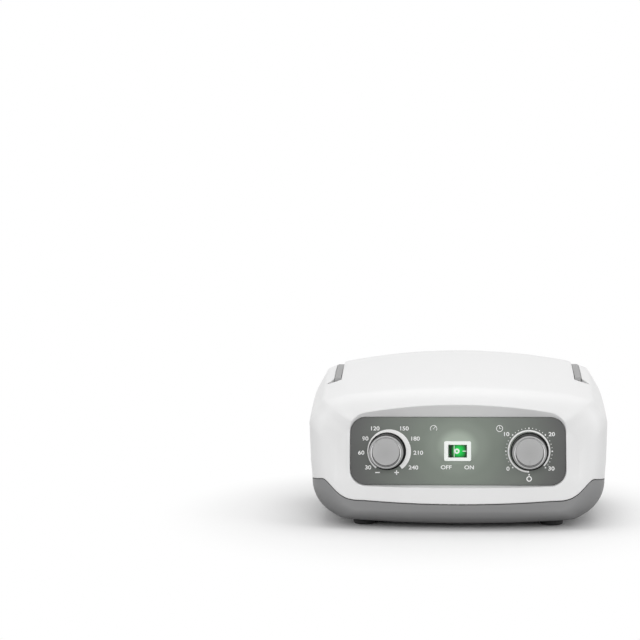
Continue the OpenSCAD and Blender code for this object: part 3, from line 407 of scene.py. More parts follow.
@once
def lit_rocker(name):
    """Clear green moulding lit by its lamp behind; the lamp's glow, strongest right of its fold, and the
    shade round its rim are painted into its colour and its emission.
    """
    lamp = Vector(bpy.context.scene.pump_panel.lamp)
    mat, tree, shader = shader_of(name)
    place = spot(tree)
    centre = PANEL @ Vector((0.9 * MM, 0.4 * MM, 0))
    share = reach_from(tree, centre, (158, 0, 150))
    square = vectors(tree, "MULTIPLY", share.outputs[0], share.outputs[0])
    parts = add(tree, "ShaderNodeSeparateXYZ", {"Vector": square.outputs[0]})
    across = maths(tree, "SUBTRACT", 1.0, parts.outputs["X"])
    across.use_clamp = True
    upward = maths(tree, "SUBTRACT", 1.0, parts.outputs["Z"])
    upward.use_clamp = True
    both = maths(tree, "MULTIPLY", across.outputs[0], upward.outputs[0])
    # painted shade at the lens's rim rising to the painted glow of its lamp in the middle
    stops = [(0, lamp * 0.01), (1, lamp * 0.98), (0.25, lamp * 0.08), (0.6, lamp * 0.5)]
    ramp = colour_ramp(tree, both.outputs[0], stops)
    grain = add(tree, "ShaderNodeTexNoise", {"Vector": place, "Scale": 900.0})
    rough = add(tree, "ShaderNodeMapRange", {"Value": grain.outputs["Fac"], "To Min": 0.12, "To Max": 0.24})
    feed(tree, shader, {"Roughness": rough.outputs["Result"], "Base Color": ramp.outputs["Color"],
                        "Emission Color": ramp.outputs["Color"], "Emission Strength": 0.3,
                        "Specular IOR Level": 0.3})
    return mat


def ink(name="White ink", tone=(0.97, 0.97, 0.96)):
    """Screen print on the panel."""
    return plastic(name, tone, 0.55, 7000.0, 0.05, 0.02)


@once
def glass_tube(name):
    """Clear glass of the fuse."""
    mat, tree, shader = shader_of(name)
    place = spot(tree)
    haze = add(tree, "ShaderNodeTexNoise", {"Vector": place, "Scale": 400.0})
    rough = add(tree, "ShaderNodeMapRange", {"Value": haze.outputs["Fac"], "To Min": 0.02, "To Max": 0.08})
    feed(tree, shader, {"Roughness": rough.outputs["Result"], "Base Color": (0.9, 0.9, 0.88, 1),
                        "Transmission Weight": 0.9})
    return mat


@once
def laminated(name):
    """Stacked iron sheets, seen as fine lines along Y."""
    mat, tree, shader = shader_of(name)
    place = spot(tree)
    lines = add(tree, "ShaderNodeTexWave", {"Vector": place, "Scale": 320.0},
                bands_direction="Y")
    span = add(tree, "ShaderNodeMapRange", {"Value": lines.outputs["Fac"], "To Min": 0.09, "To Max": 0.2})
    feed(tree, shader, {"Base Color": span.outputs["Result"], "Metallic": 0.8, "Roughness": 0.5})
    return mat


def finish_of(slot):
    """The material of a record's slot."""
    body, panel = bpy.context.scene.pump_housing, bpy.context.scene.pump_panel
    grey = tuple(body.grey)
    finishes = {
        "white_abs": lambda: plastic("White moulding", body.white, 0.36, 2600.0, 0.05, 0.008, 0.12,
                                     edge=0.0012),
        "grey_abs": lambda: plastic("Grey moulding", grey, 0.46, 2400.0, 0.16, 0.02, edge=0.0006),
        "handle_grey": lambda: plastic("Handle moulding", body.handle, 0.44, 2600.0, 0.12, 0.02),
        "panel_grey": panel_film_painted_glow,
        "knob_grey": lambda: plastic("Knob moulding", panel.knob, 0.34, 3200.0, 0.06, 0.02, 0.1),
        "switch_white": lambda: plastic("Switch frame", (0.93, 0.97, 0.93), 0.3, 3200.0, 0.04, 0.01, 0.2),
        "rocker_green": lambda: lit_rocker("Lit green lens"),
        "socket_grey": lambda: plastic("Outlet moulding", (0.38, 0.38, 0.38), 0.45, 2600.0, 0.12, 0.02),
        "black_plastic": lambda: plastic("Black moulding", (0.022, 0.022, 0.023), 0.42, 2600.0, 0.14, 0.05),
        "black_rubber": lambda: plastic("Black rubber", (0.028, 0.028, 0.029), 0.72, 1600.0, 0.3, 0.06),
        "cream_plastic": lambda: plastic("Natural moulding", (0.70, 0.66, 0.55), 0.4, 2400.0, 0.1, 0.03),
        "hose_clear": lambda: plastic("Silicone hose", (0.72, 0.72, 0.66), 0.35, 1500.0, 0.08, 0.04, 0.1),
        "board_green": lambda: plastic("Board lacquer", (0.03, 0.14, 0.06), 0.3, 900.0, 0.1, 0.15, 0.3),
        "coil_copper": lambda: metal("Lacquered copper", (0.62, 0.27, 0.12), 0.3),
        "iron": lambda: laminated("Laminated iron"),
        "aluminium": lambda: metal("Pressed aluminium", (0.62, 0.62, 0.63), 0.34),
        "steel": lambda: metal("Plated steel", (0.56, 0.56, 0.56), 0.26),
        "brass": lambda: metal("Turned brass", (0.66, 0.50, 0.22), 0.26),
        "fuse_glass": lambda: glass_tube("Fuse glass"),
    }
    return finishes[slot]()


# ---------------------------------------------------------------------------------------
# Making pieces
# ---------------------------------------------------------------------------------------
def object_of(bm, name):
    """A bmesh as an object of the scene."""
    mesh = bpy.data.meshes.new(name)
    bm.to_mesh(mesh)
    bm.free()
    thing = bpy.data.objects.new(name, mesh)
    bpy.context.scene.collection.objects.link(thing)
    return thing


def finish_piece(bm, name, body, slot, material=None, stands_for=(), sharp=32, bevel=0.0, segments=2):
    """Turns a bmesh into a piece that rides on a body."""
    piece = object_of(bm, name)
    mesh = piece.data
    mesh.materials.append(material or finish_of(slot))
    mesh.shade_smooth()
    mesh.set_sharp_from_angle(angle=radians(sharp))
    if bevel:
        edge = piece.modifiers.new("Edges", "BEVEL")
        edge.width, edge.segments, edge.limit_method = bevel * MM, segments, "ANGLE"
        edge.angle_limit, edge.harden_normals, edge.use_clamp_overlap = radians(sharp), True, True
    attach(piece, body)
    if stands_for:
        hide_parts(*stands_for)
    return piece


def body_of(node):
    """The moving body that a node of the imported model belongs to."""
    groups = frame["record"]["behaviour"]["bodies"]
    return next(body for body, members in groups.items() if node in members)


def slot_of(node):
    """The record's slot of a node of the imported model."""
    return next(s["material_slot"] for s in frame["record"]["subparts"] if s["node"] == node)


def carried(node, bevel=0.0, sharp=32, name=None, material=None, segments=2):
    """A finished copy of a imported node: doubles merged, flat faces joined and edges eased."""
    bm = bmesh.new()
    bm.from_mesh(frame["nodes"][node].data)
    bmesh.ops.remove_doubles(bm, verts=bm.verts, dist=1e-6)
    if bevel:
        bmesh.ops.dissolve_limit(bm, angle_limit=radians(0.4), verts=bm.verts, edges=bm.edges)
    return finish_piece(bm, name or node + "_finished", body_of(node), slot_of(node), material,
                        (node,), sharp, bevel, segments)


def sheet(across, along, place, matrix=Matrix.Identity(4)):
    """A grid laid over a form: place(i, j) gives each of its points in millimetres."""
    bm = bmesh.new()
    bmesh.ops.create_grid(bm, x_segments=across, y_segments=along, size=1.0)
    for vert in bm.verts:
        i = round((vert.co.x + 1) / 2 * across)
        j = round((vert.co.y + 1) / 2 * along)
        vert.co = matrix @ (Vector(place(i, j)) * MM)
    return bm


def loft(rings, matrix=Matrix.Identity(4)):
    """A skin over closed rings with the same number of points, with its two ends closed."""
    count = len(rings[0])
    bm = sheet(count, len(rings) - 1, lambda i, j: rings[j][i % count], matrix)
    bmesh.ops.remove_doubles(bm, verts=bm.verts, dist=2e-7)
    bmesh.ops.holes_fill(bm, edges=bm.edges, sides=0)
    bmesh.ops.recalc_face_normals(bm, faces=bm.faces)
    return bm


def cut(bm, *tools, operation="DIFFERENCE"):
    """Cuts a bmesh with others by exact booleans and returns the result."""
    base = object_of(bm, "cut_base")
    others = [object_of(t, "cutter") for t in tools]
    for other in others:
        step = base.modifiers.new("Cut", "BOOLEAN")
        step.operation, step.object, step.solver = operation, other, "EXACT"
    bpy.context.view_layer.update()
    result = base.evaluated_get(bpy.context.evaluated_depsgraph_get()).to_mesh()
    made = bmesh.new()
    made.from_mesh(result)
    for extra in (base, *others):
        mesh = extra.data
        bpy.data.objects.remove(extra)
        bpy.data.meshes.remove(mesh)
    return made


def rounded_ring(w, h, r, z, steps=8):
    """Points round a rounded rectangle at height z."""
    ring = []
    for quarter, (sx, sy) in enumerate(((1, 1), (-1, 1), (-1, -1), (1, -1))):
        for k in range(steps + 1):
            a = radians(90 * quarter + 90 * k / steps)
            ring.append((sx * (w / 2 - r) + r * cos(a), sy * (h / 2 - r) + r * sin(a), z))
    return ring


def plate(w, h, r, z0, z1, matrix, x=0.0, y=0.0):
    """A rounded plate from z0 to z1 in a frame's own axes."""
    rings = [[(p[0] + x, p[1] + y, z) for p in rounded_ring(w, h, r, z)] for z in (z0, z1)]
    return loft(rings, matrix)


def block(low, high):
    """A box between two corners, for cutting."""
    bm = bmesh.new()
    bmesh.ops.create_cube(bm, size=1.0)
    low, high = Vector(low) * MM, Vector(high) * MM
    for vert in bm.verts:
        vert.co = Vector(low[k] + (vert.co[k] + 0.5) * (high[k] - low[k]) for k in range(3))
    return bm


def drum(x, y, z0, z1, r, matrix=Matrix.Identity(4), steps=48):
    """A cylinder along Z, for cutting."""
    rings = [[(x + r * cos(2 * pi * k / steps), y + r * sin(2 * pi * k / steps), z) for k in range(steps)]
             for z in (z0, z1)]
    return loft(rings, matrix)


def turned(profile, matrix, steps=96):
    """A form spun about Z from its half profile of (radius, height) points."""
    bm = bmesh.new()
    verts = [bm.verts.new((r * MM, 0, z * MM)) for r, z in profile]
    edges = [bm.edges.new(pair) for pair in zip(verts, verts[1:])]
    bmesh.ops.spin(bm, geom=verts + edges, axis=(0, 0, 1), cent=(0, 0, 0), dvec=(0, 0, 0),
                   angle=2 * pi, steps=steps, use_merge=True, use_duplicate=False)
    bmesh.ops.remove_doubles(bm, verts=bm.verts, dist=1e-7)
    bmesh.ops.recalc_face_normals(bm, faces=bm.faces)
    bm.transform(matrix)
    return bm


def joined(*parts):
    """Several bmeshes as one."""
    whole = bmesh.new()
    for part in parts:
        mesh = bpy.data.meshes.new("part")
        part.to_mesh(mesh)
        part.free()
        whole.from_mesh(mesh)
        bpy.data.meshes.remove(mesh)
    return whole


# ---------------------------------------------------------------------------------------
# The housing's form
# ---------------------------------------------------------------------------------------
def between(values, u):
    """Value at place u of a list, taken between its entries."""
    i = min(int(u), len(values) - 2)
    return values[i] + (values[i + 1] - values[i]) * (u - i)


def arc_point(x, z, rx, rz, angles, u):
    """A point of an arc about (x, z), at place u of its list of angles."""
    a = radians(between(angles, u))
    return x + rx * cos(a), z + rz * sin(a)


def blend_points(p, q, t):
    """A point on the line from p to q."""
    return p[0] + (q[0] - p[0]) * t, p[1] + (q[1] - p[1]) * t


def dome_z(x):
    """Height of the domed top at x."""
    return BODY_H - DOME_DROP * (x / DOME_X) ** 2


def mid_point(u, e):
    """Widest section, from the top centre at u = 0 to the bottom centre at u = 24, moved in by e."""
    lip = lambda k: arc_point(LIP_X, LIP_Z, LIP_R - e, LIP_R - e, LIP_ANGLES, k)
    shoulder = lambda k: arc_point(SHOULDER_X, SHOULDER_Z, SHOULDER_R - e, SHOULDER_R - e,
                                   SHOULDER_ANGLES, k)
    corner = lambda k: arc_point(CORNER_X, CORNER_Z, CORNER_RX - e, CORNER_RZ - e, CORNER_ANGLES, k)
    side = lambda k: (HALF_W - 1.2 * (1 - k) - e, CORNER_Z + k * (SHOULDER_Z - CORNER_Z))
    if u <= 6:
        return DOME_X * u / 6, dome_z(DOME_X * u / 6) - e
    if u <= 7:
        return blend_points((DOME_X, dome_z(DOME_X) - e), lip(0), u - 6)
    if u <= 9:
        return lip(u - 7)
    if u <= 10:
        return blend_points(lip(2), shoulder(0), u - 9)
    if u <= 13:
        return shoulder(u - 10)
    if u <= 14:
        return blend_points(shoulder(3), side(0.66), u - 13)
    if u <= 15:
        return blend_points(side(0.66), side(0.33), u - 14)
    if u <= 16:
        return blend_points(side(0.33), corner(0), u - 15)
    if u <= 22:
        return corner(u - 16)
    low = (CORNER_X / 2, FOOT_H + 0.5 + e)
    if u <= 23:
        return blend_points(corner(6), low, u - 22)
    return blend_points(low, (0, FOOT_H + e), u - 23)


def face_point(u):
    """Outline of the flat face at the same place."""
    upper = lambda k: arc_point(FACE_X - FACE_R, FACE_TOP - DOME_DROP - FACE_R, FACE_R, FACE_R,
                                FACE_ANGLES, k)
    lower = lambda k: arc_point(FACE_X - FACE_LOW_R, FACE_LOW_Z + FACE_LOW_R, FACE_LOW_R, FACE_LOW_R,
                                CORNER_ANGLES, k)
    top = lambda k: ((FACE_X - FACE_R + 2) * k / 6, FACE_TOP - DOME_DROP * (k / 6) ** 2)
    if u <= 6:
        return top(u)
    if u <= 7:
        return blend_points(top(6), upper(0), u - 6)
    if u <= 13:
        return upper(u - 7)
    if u <= 16:
        return blend_points(upper(6), lower(0), (u - 13) / 3)
    if u <= 22:
        return lower(u - 16)
    x, z = lower(6)
    return x * (1 - (u - 22) / 2), z


def face_y(s, x, z, e):
    """The bowed front (s = -1) or rear face (s = 1), moved in by e."""
    if s < 0:
        return (-(FRONT_Y - e) + FRONT_BOW * (x / FACE_X) ** 2 + tan(radians(LEAN)) * (z - PANEL_Z)
                + FACE_CROWN * ((z - PANEL_Z) / FACE_TOP) ** 2)
    return (REAR_Y - e - REAR_BOW * (x / FACE_X) ** 2 - FACE_CROWN * ((z - REAR_Z) / FACE_TOP) ** 2)


def side_span(u, e):
    """Depth of the rounding at place u: smaller along the bottom edge."""
    spans = [LOW_R if face_point(k)[1] < FACE_LOW_Z + 1 else SIDE_R for k in range(25)]
    return between(spans, u) - e


def housing_point(s, turn, run, e, u):
    """A point of the housing: turn goes over the rounded end, run from there to the crest."""
    mx, mz = mid_point(u, e)
    share = max(0.0, (mid_point(u, 0)[1] - SIDE_Z) / (BODY_H - SIDE_Z))
    fx, fz = face_point(u)
    a, b = radians(90 * turn), radians(70 * turn)
    y_top = face_y(s, fx, FACE_TOP, e) - s * (BROW_R - e) * (1 - cos(b))
    y_side = face_y(s, fx, fz, e) - s * side_span(u, e) * (1 - cos(a))
    y_edge = share * y_top + (1 - share) * y_side
    z_top = (fz + (mz - DECK_DROP - fz) * sin(b) / sin(radians(70)) if run == 0
             else mz - DECK_DROP * (1 - run) ** 1.5)
    far = (1 - run) ** 2
    z_side = fz + (mz + FLOOR_CROWN * far - fz) * sin(a)
    z = share * z_top + (1 - share) * z_side if turn else fz
    x = fx + (mx * (1 - SIDE_CROWN / HALF_W * far) - fx) * sin(a)
    return x, y_edge + (CREST_Y - y_edge) * run, z


def housing_body(e, fine, turns, runs):
    """The closed outer form, or the cavity for e above 0."""
    half = [u + k / n for u, n in enumerate(fine) for k in range(n)] + [24]
    whole = [(u, 1) for u in half] + [(u, -1) for u in reversed(half[1:-1])]
    middle = (FACE_TOP + FACE_LOW_Z) / 2

    def face_ring(s, c):
        ring = []
        for u, side in whole:
            x, z = face_point(u)
            x, z = x * side * c, middle + (z - middle) * c
            ring.append((x, face_y(s, x, z, e), z))
        return ring

    def ring(s, turn, run):
        points = [housing_point(s, turn, run, e, u) for u, side in whole]
        return [(p[0] * side, p[1], p[2]) for p, (u, side) in zip(points, whole)]

    caps = (0.04, 0.2, 0.36, 0.52, 0.68, 0.84) if e == 0 else (0.05, 0.5)
    rings = [face_ring(-1, c) for c in caps]
    rings += [ring(-1, k / turns, 0) for k in range(turns + 1)]
    rings += [ring(-1, 1, k / runs) for k in range(1, runs + 1)]
    rings += [ring(1, 1, k / runs) for k in range(runs - 1, 0, -1)]
    rings += [ring(1, k / turns, 0) for k in range(turns, -1, -1)]
    rings += [face_ring(1, c) for c in reversed(caps)]
    return loft(rings)


def parting(x):
    """Height of the parting line."""
    a = abs(x)
    climb = min(1.0, (max(0.0, a - PART_X) / PART_RUN) ** PART_BEND)
    return (PART_Z + PART_LIFT * min(1, a / PART_X) ** 2 + PART_RISE * climb * climb * (3 - 2 * climb)
            - PART_FALL * max(0.0, (a - PART_X - PART_RUN) / (HALF_W - PART_X - PART_RUN)))


def parting_tool(s, offset):
    """Everything above (s = 1) or below (s = -1) the parting line."""
    half = [0, 15, 30, 45, 58] + [PART_X + PART_RUN * (k / 30) ** 0.7 for k in range(31)] + [118, 140]
    xs = [-x for x in reversed(half[1:])] + half
    curve = [(x, parting(x) + offset) for x in xs]
    outline = curve + [(140, s * 200), (-140, s * 200)]
    return loft([[(x, y, z) for x, z in outline] for y in (-140, 140)])


def handle_tools(g, bottom):
    """Slots, notches and trough of the handle, grown by g."""
    tools = []
    for s in (-1, 1):
        x = s * SLOT_X
        tools.append(block((x - SLOT_W / 2 - g, -SLOT_FRONT - g, bottom),
                           (x + SLOT_W / 2 + g, TROUGH_REAR + g, 160)))
        notch = []
        for nx, ny, r in ((SLOT_W / 2 - 1, -SLOT_FRONT + 1, 1), (SLOT_W / 2 - 1, -SLOT_FRONT + 7, 1),
                          (SLOT_W / 2 + 4.9, -SLOT_FRONT + 1, 0.6)):
            notch += [(x + s * nx + (r + g) * cos(radians(30 * k)), ny + (r + g) * sin(radians(30 * k)))
                      for k in range(12)]
        tools.append(hull_prism(notch, bottom, 160))
    tools.append(block((-SLOT_X - SLOT_W / 2 - g, TROUGH_FRONT - g, bottom),
                       (SLOT_X + SLOT_W / 2 + g, TROUGH_REAR + g, 160)))
    return tools


def hull_prism(points, z0, z1):
    """The convex outline of some points, as a prism."""
    bm = bmesh.new()
    for z in (z0, z1):
        for x, y in points:
            bm.verts.new((x * MM, y * MM, z * MM))
    bmesh.ops.convex_hull(bm, input=bm.verts)
    loose = [v for v in bm.verts if not v.link_faces]
    bmesh.ops.delete(bm, geom=loose, context="VERTS")
    bmesh.ops.recalc_face_normals(bm, faces=bm.faces)
    return bm


def recess_flare():
    """The opening round the panel, which widens towards the face, most of all under the brow."""
    wide, tall = PANEL_W + 2 * SEAM, PANEL_H + 2 * SEAM
    rings = [rounded_ring(wide, tall, PANEL_R + SEAM, -PANEL_T, 12),
             rounded_ring(wide, tall, PANEL_R + SEAM, 0, 12)]
    outer = rounded_ring(PANEL_W + 2 * FLARE_SIDE, PANEL_H + FLARE_TOP + FLARE_LOW,
                         PANEL_R + FLARE_SIDE, FLARE_D, 12)
    rings.append([(x, y + (FLARE_TOP - FLARE_LOW) / 2, z) for x, y, z in outer])
    return loft(rings, PANEL)


class PUMP_OT_housing(bpy.types.Operator):
    """Make the white upper and the grey lower moulding"""
    bl_idname = "pump.housing"
    bl_label = "Housing"

    def execute(self, context):
        look = context.scene.pump_housing
        fine = [4] * 6 + [2] + [3] * 2 + [3] + [3] * 3 + [4] * 3 + [3] * 6 + [4] * 2
        rough = [1] * 24
        cavity = housing_body(WALL, rough, 4, 2)
        tub = plate(PANEL_W + 2 * WALL + 3, PANEL_H + 2 * WALL + 8, PANEL_R + WALL,
                    -PANEL_T - WALL, FLARE_D, PANEL, y=1)
        rear_tub = plate(REAR_W + 2 * WALL, REAR_H + 2 * WALL, REAR_R + WALL,
                         -REAR_T - WALL, 10 - WALL, REAR)
        upper_cavity = cut(cavity.copy(), tub, rear_tub, *handle_tools(WALL - 0.4, SLOT_FLOOR - WALL + 0.4))
        window = plate(PANEL_W - 2 * LEDGE, PANEL_H - 2 * LEDGE, PANEL_R - LEDGE,
                       -PANEL_T - 2 * WALL, -PANEL_T + 0.5, PANEL)
        rear_recess = plate(REAR_W + 2 * SEAM, REAR_H + 2 * SEAM, REAR_R + SEAM, -REAR_T, 20, REAR)
        rear_window = plate(REAR_W - 2 * LEDGE - 2, REAR_H - 2 * LEDGE - 2, 3, -20, 20, REAR)
        outer = housing_body(0, fine, look.steps, 12)
        upper = cut(outer.copy(), parting_tool(-1, SEAM / 2), upper_cavity, recess_flare(), window,
                    rear_recess, rear_window, *handle_tools(0, SLOT_FLOOR))
        finish_piece(upper, "upper_moulding", "housing", "white_abs", stands_for=("top_shell",), sharp=28)
        wells = []
        for sx in (-1, 1):
            for sy in (-1, 1):
                wells.append(drum(sx * SCREW_X, sy * SCREW_Y, -5, 15, 4))
                wells.append(drum(sx * FOOT_X, sy * FOOT_Y, -5, FOOT_H + FOOT_IN + SEAM, FOOT_D / 2 + SEAM))
        vents = [plate(2.4, 34, 1.2, -5, 12, Matrix.Identity(4), x=(i - 3) * 7.2) for i in range(7)]
        lower = cut(outer, parting_tool(1, SEAM / 2 - look.groove / MM), cavity, *wells, *vents)
        finish_piece(lower, "lower_moulding", "housing", "grey_abs", stands_for=("base_shell",), sharp=28)
        return {"FINISHED"}


# ---------------------------------------------------------------------------------------
# The control panel
# ---------------------------------------------------------------------------------------
def lettering(body, x, y, height):
    """Printed figures, centred at a place of the panel, as a flat mesh."""
    data = bpy.data.curves.new("figures", "FONT")
    data.body, data.offset = body, 0.022
    figures = bpy.data.objects.new("figures", data)
    bpy.context.scene.collection.objects.link(figures)
    bpy.context.view_layer.update()
    mesh = figures.evaluated_get(bpy.context.evaluated_depsgraph_get()).to_mesh()
    bm = bmesh.new()
    bm.from_mesh(mesh)
    bpy.data.objects.remove(figures)
    bpy.data.curves.remove(data)
    low = Vector(min(v.co[k] for v in bm.verts) for k in range(2))
    high = Vector(max(v.co[k] for v in bm.verts) for k in range(2))
    scale = height / (high.y - low.y)
    middle = (low + high) / 2
    for vert in bm.verts:
        vert.co = ((vert.co.x - middle.x) * scale * FIGURE_WIDTH + x, (vert.co.y - middle.y) * scale + y, 0)
    return bm


def ring_print(x, y, r, width, start, end, steps=72):
    """A printed ring or arc of one width, from start clockwise to end, in degrees."""
    def place(i, j):
        a = radians(start + (end - start) * i / steps)
        rr = r + (j - 0.5) * width
        return x + rr * cos(a), y + rr * sin(a), 0
    bm = sheet(steps, 1, place)
    bmesh.ops.remove_doubles(bm, verts=bm.verts, dist=1e-7)
    return bm


def dot_print(x, y, r):
    """A printed dot."""
    bm = bmesh.new()
    bmesh.ops.create_circle(bm, cap_ends=True, segments=20, radius=r * MM,
                            matrix=Matrix.Translation((x * MM, y * MM, 0)))
    return bm


def bar_print(x, y, w, h, turn=0.0):
    """A short printed bar."""
    bm = bmesh.new()
    bmesh.ops.create_grid(bm, x_segments=1, y_segments=1, size=0.5 * MM)
    bm.transform(Matrix.Translation((x * MM, y * MM, 0)) @ Matrix.Rotation(radians(turn), 4, "Z")
                 @ Matrix.Diagonal((w, h, 1, 1)))
    return bm


def crescent_print(x, y, inner, centre, outer, start, end, steps=96):
    """A band between a circle round the dial and a larger one set a little aside."""
    def place(i, j):
        a = radians(start + (end - start) * i / steps)
        if j == 0:
            return x + inner * cos(a), y + inner * sin(a), 0
        along = cos(a) * centre[0] + sin(a) * centre[1]
        reach = along + sqrt(max(0, outer ** 2 - (centre[0] ** 2 + centre[1] ** 2 - along ** 2)))
        return x + reach * cos(a), y + reach * sin(a), 0
    return sheet(steps, 1, place)


def raised(parts, height, matrix, form=None):
    """Joins flat prints, lays them on a form, thickens them and moves them into place."""
    bm = joined(*parts)
    for face in bm.faces:
        if face.normal.z < 0:
            face.normal_flip()
    if form:
        for vert in bm.verts:
            vert.co.z = form(vert.co.x / MM) * MM
    lifted = bmesh.ops.extrude_face_region(bm, geom=list(bm.faces))
    bmesh.ops.translate(bm, verts=[g for g in lifted["geom"] if isinstance(g, bmesh.types.BMVert)],
                        vec=(0, 0, height))
    bmesh.ops.recalc_face_normals(bm, faces=bm.faces)
    bm.transform(matrix)
    return bm


def printed(name, parts, height, material=None):
    """Flat prints with the ink's thickness on the panel."""
    bm = raised(parts, height, PANEL)
    return finish_piece(bm, name, "housing", "switch_white", material or ink())


class PUMP_OT_panel(bpy.types.Operator):
    """Make the control panel with its printed scales"""
    bl_idname = "pump.panel"
    bl_label = "Control panel"

    def execute(self, context):
        look = context.scene.pump_panel
        carried("front_panel", 0.35, name="panel_plate", segments=3)
        digit = look.digit
        left = -DIAL_X
        parts = [crescent_print(left + GAP_X, GAP_Y, GAP_R, (1.5, 0.05), 17.05, 236, -50)]
        for text, x, y in (("30", -15.2, -12.7), ("60", -20.6, -1.2), ("90", -17.4, 9.8),
                           ("120", -9.6, 17.7), ("150", 13.2, 17.7), ("180", 21.8, 9.8),
                           ("210", 23.9, -1.2), ("240", 20.1, -12.7)):
            parts.append(lettering(text, (left + FIGURE_X + x) * MM, (y + FIGURE_Y) * MM, digit))
        parts.append(bar_print(left - 7.1, -16.8, 3.6, 0.85))
        parts.append(bar_print(left + 7.8, -16.8, 3.6, 0.85))
        parts.append(bar_print(left + 7.8, -16.8, 0.85, 3.6))
        printed("pressure_scale", parts, look.ink)

        right = DIAL_X
        parts = [ring_print(right, 0, 15.9, 1.3, -90, -405)]
        for k in range(31):
            a = radians(225 - 9 * k)
            parts.append(dot_print(right + 17.9 * cos(a), 17.9 * sin(a), 0.62 if k % 5 == 0 else 0.36))
        for text, x, y in (("0", -16.3, -13.5), ("10", -17.2, 13.3), ("20", 17.6, 13.3),
                           ("30", 17.2, -13.3)):
            parts.append(lettering(text, (right + x) * MM, y * MM, digit))
        parts.append(dot_print(right, -18.2, 0.62))
        parts.append(ring_print(right, -21.4, 1.75, 0.85, 0, 360, 40))
        printed("timer_scale", parts, look.ink)

        parts = [lettering("OFF", -8.9 * MM, -12.6 * MM, digit * 0.96),
                 lettering("ON", 8.9 * MM, -12.6 * MM, digit * 0.96)]
        printed("switch_marks", parts, look.ink)

        # a gauge and a clock, in place of the legends
        gx, gy, cx, cy = -18.6, 17.4, 32.6, 17.6
        parts = [ring_print(gx, gy, 2.5, 0.5, 215, -35, 40), bar_print(gx + 0.55, gy + 0.65, 2.2, 0.45, 50),
                 dot_print(gx, gy, 0.5), ring_print(cx, cy, 2.4, 0.5, 0, 360, 40),
                 bar_print(cx, cy + 0.8, 0.45, 1.7), bar_print(cx + 0.6, cy, 1.3, 0.45)]
        printed("legend_signs", parts, look.ink)

        # black rings round the dials' feet, set a little off centre: a painted shadow of the gap under each
        # knob
        shade = plastic("Shaded gap", (0.004, 0.004, 0.004), 0.9, 3000.0, 0.05, 0.05)
        parts = [ring_print(x + GAP_X, GAP_Y, GAP_W, GAP_W, 0, 360) for x in (left, right)]
        printed("dial_painted_shadows", parts, look.ink * 0.6, shade)
        return {"FINISHED"}


class PUMP_OT_dials(bpy.types.Operator):
    """Make the pressure dial and the timer dial"""
    bl_idname = "pump.dials"
    bl_label = "Dials"

    def execute(self, context):
        top = KNOB_GAP + KNOB_H
        profile = [(8.2, KNOB_GAP), (13.1, KNOB_GAP), (13.45, KNOB_GAP + 0.35), (13.5, KNOB_GAP + 0.8),
                   (13.5, 9.8), (13.42, 10.3), (13.2, 10.6), (13.0, 10.75), (12.95, 11.0), (12.88, 11.5),
                   (12.7, 12.1), (12.45, 12.5), (12.2, 12.65), (12.1, 12.9), (12.0, 13.4), (11.8, 13.85),
                   (11.5, 14.1), (11.2, 14.16), (11.0, 14.05), (10.85, 13.8), (10.8, top - CAP_T),
                   (8.2, top - CAP_T - 0.4), (8.2, KNOB_GAP)]
        for body, x, turn in (("pressure_dial", -DIAL_X, 135), ("timer_dial", DIAL_X, -90)):
            word = body.split("_")[0]
            place = PANEL @ Matrix.Translation((x * MM, 0, 0)) @ Matrix.Rotation(radians(turn), 4, "Z")
            knob = turned(profile, place, 128)
            grip = grip_with_painted_highlights("Dial grip " + word, context.scene.pump_panel.knob, x)
            finish_piece(knob, word + "_grip", body, "knob_grey", grip, (word + "_knob",), sharp=40)
            face = turned_face("Dial cap " + word, context.scene.pump_panel.knob, x)
            carried(word + "_knob_cap", 0.2, name=word + "_cap", material=face)
            pointer = plate(3.4, 0.55, 0.25, top - 0.05, top + 0.1, place, x=8.2)
            finish_piece(pointer, word + "_pointer", body, "knob_grey", bevel=0.1)
        return {"FINISHED"}


def mark_height(x):
    """Height of the rocker's marks, which follow the two slopes of its lens."""
    return MARK_Z + (SLOPE_RIGHT if x > FOLD_X else SLOPE_LEFT) * abs(x - FOLD_X)


class PUMP_OT_switch(bpy.types.Operator):
    """Make the lit rocker switch"""
    bl_idname = "pump.switch"
    bl_label = "Rocker switch"

    def execute(self, context):
        carried("switch_bezel", 0.45, name="switch_frame", segments=3)
        tilt = (PANEL @ Matrix.Translation((0, 0, ROCKER_AXIS * MM))
                @ Matrix.Rotation(radians(ROCKER_TILT), 4, "Y"))
        lens = loft([[(x, side * ROCKER_HALF_H, z) for x, z in LENS] for side in (-1, 1)])
        pins = drum(0, 0, -TRUNNION_HALF, TRUNNION_HALF, TRUNNION_R, Matrix.Rotation(pi / 2, 4, "X"), 24)
        lens = cut(lens, pins, operation="UNION")
        lens.transform(tilt)
        bmesh.ops.recalc_face_normals(lens, faces=lens.faces)
        finish_piece(lens, "rocker_lens", "rocker", "rocker_green", stands_for=("switch_rocker",),
                     bevel=0.12)
        liner = cut(plate(OPENING_W, OPENING_H, 0.1, -5, 1.2, PANEL),
                    plate(OPENING_W - 2 * LINER_T, OPENING_H - 2 * LINER_T, 0.1, -6, 2, PANEL))
        finish_piece(liner, "switch_liner", "housing", "black_plastic")
        # the O and the dash are print; the thin bar along the fold is a painted highlight of the fold's
        # edge, and the ink's green tint is painted glow of the lamp behind
        marks = [ring_print(-1.1, 0, 1.45, 1.3, 0, 360, 40), bar_print(4.7, 0, 3.0, 0.62),
                 bar_print(FOLD_X, 0, 0.5, 9.1)]
        marks = raised(marks, MARK_T * MM, tilt, mark_height)
        finish_piece(marks, "rocker_marks_and_fold_highlight", "rocker", "switch_white", ink("Lens marks", (0.9, 0.97, 0.9)))
        return {"FINISHED"}


class PUMP_OT_handle(bpy.types.Operator):
    """Make the folding handle"""
    bl_idname = "pump.handle"
    bl_label = "Handle"

    def execute(self, context):
        carried("carry_handle", 0.7, name="folding_handle", segments=3)
        carried("handle_pivots", 0.3, name="handle_pins")
        return {"FINISHED"}


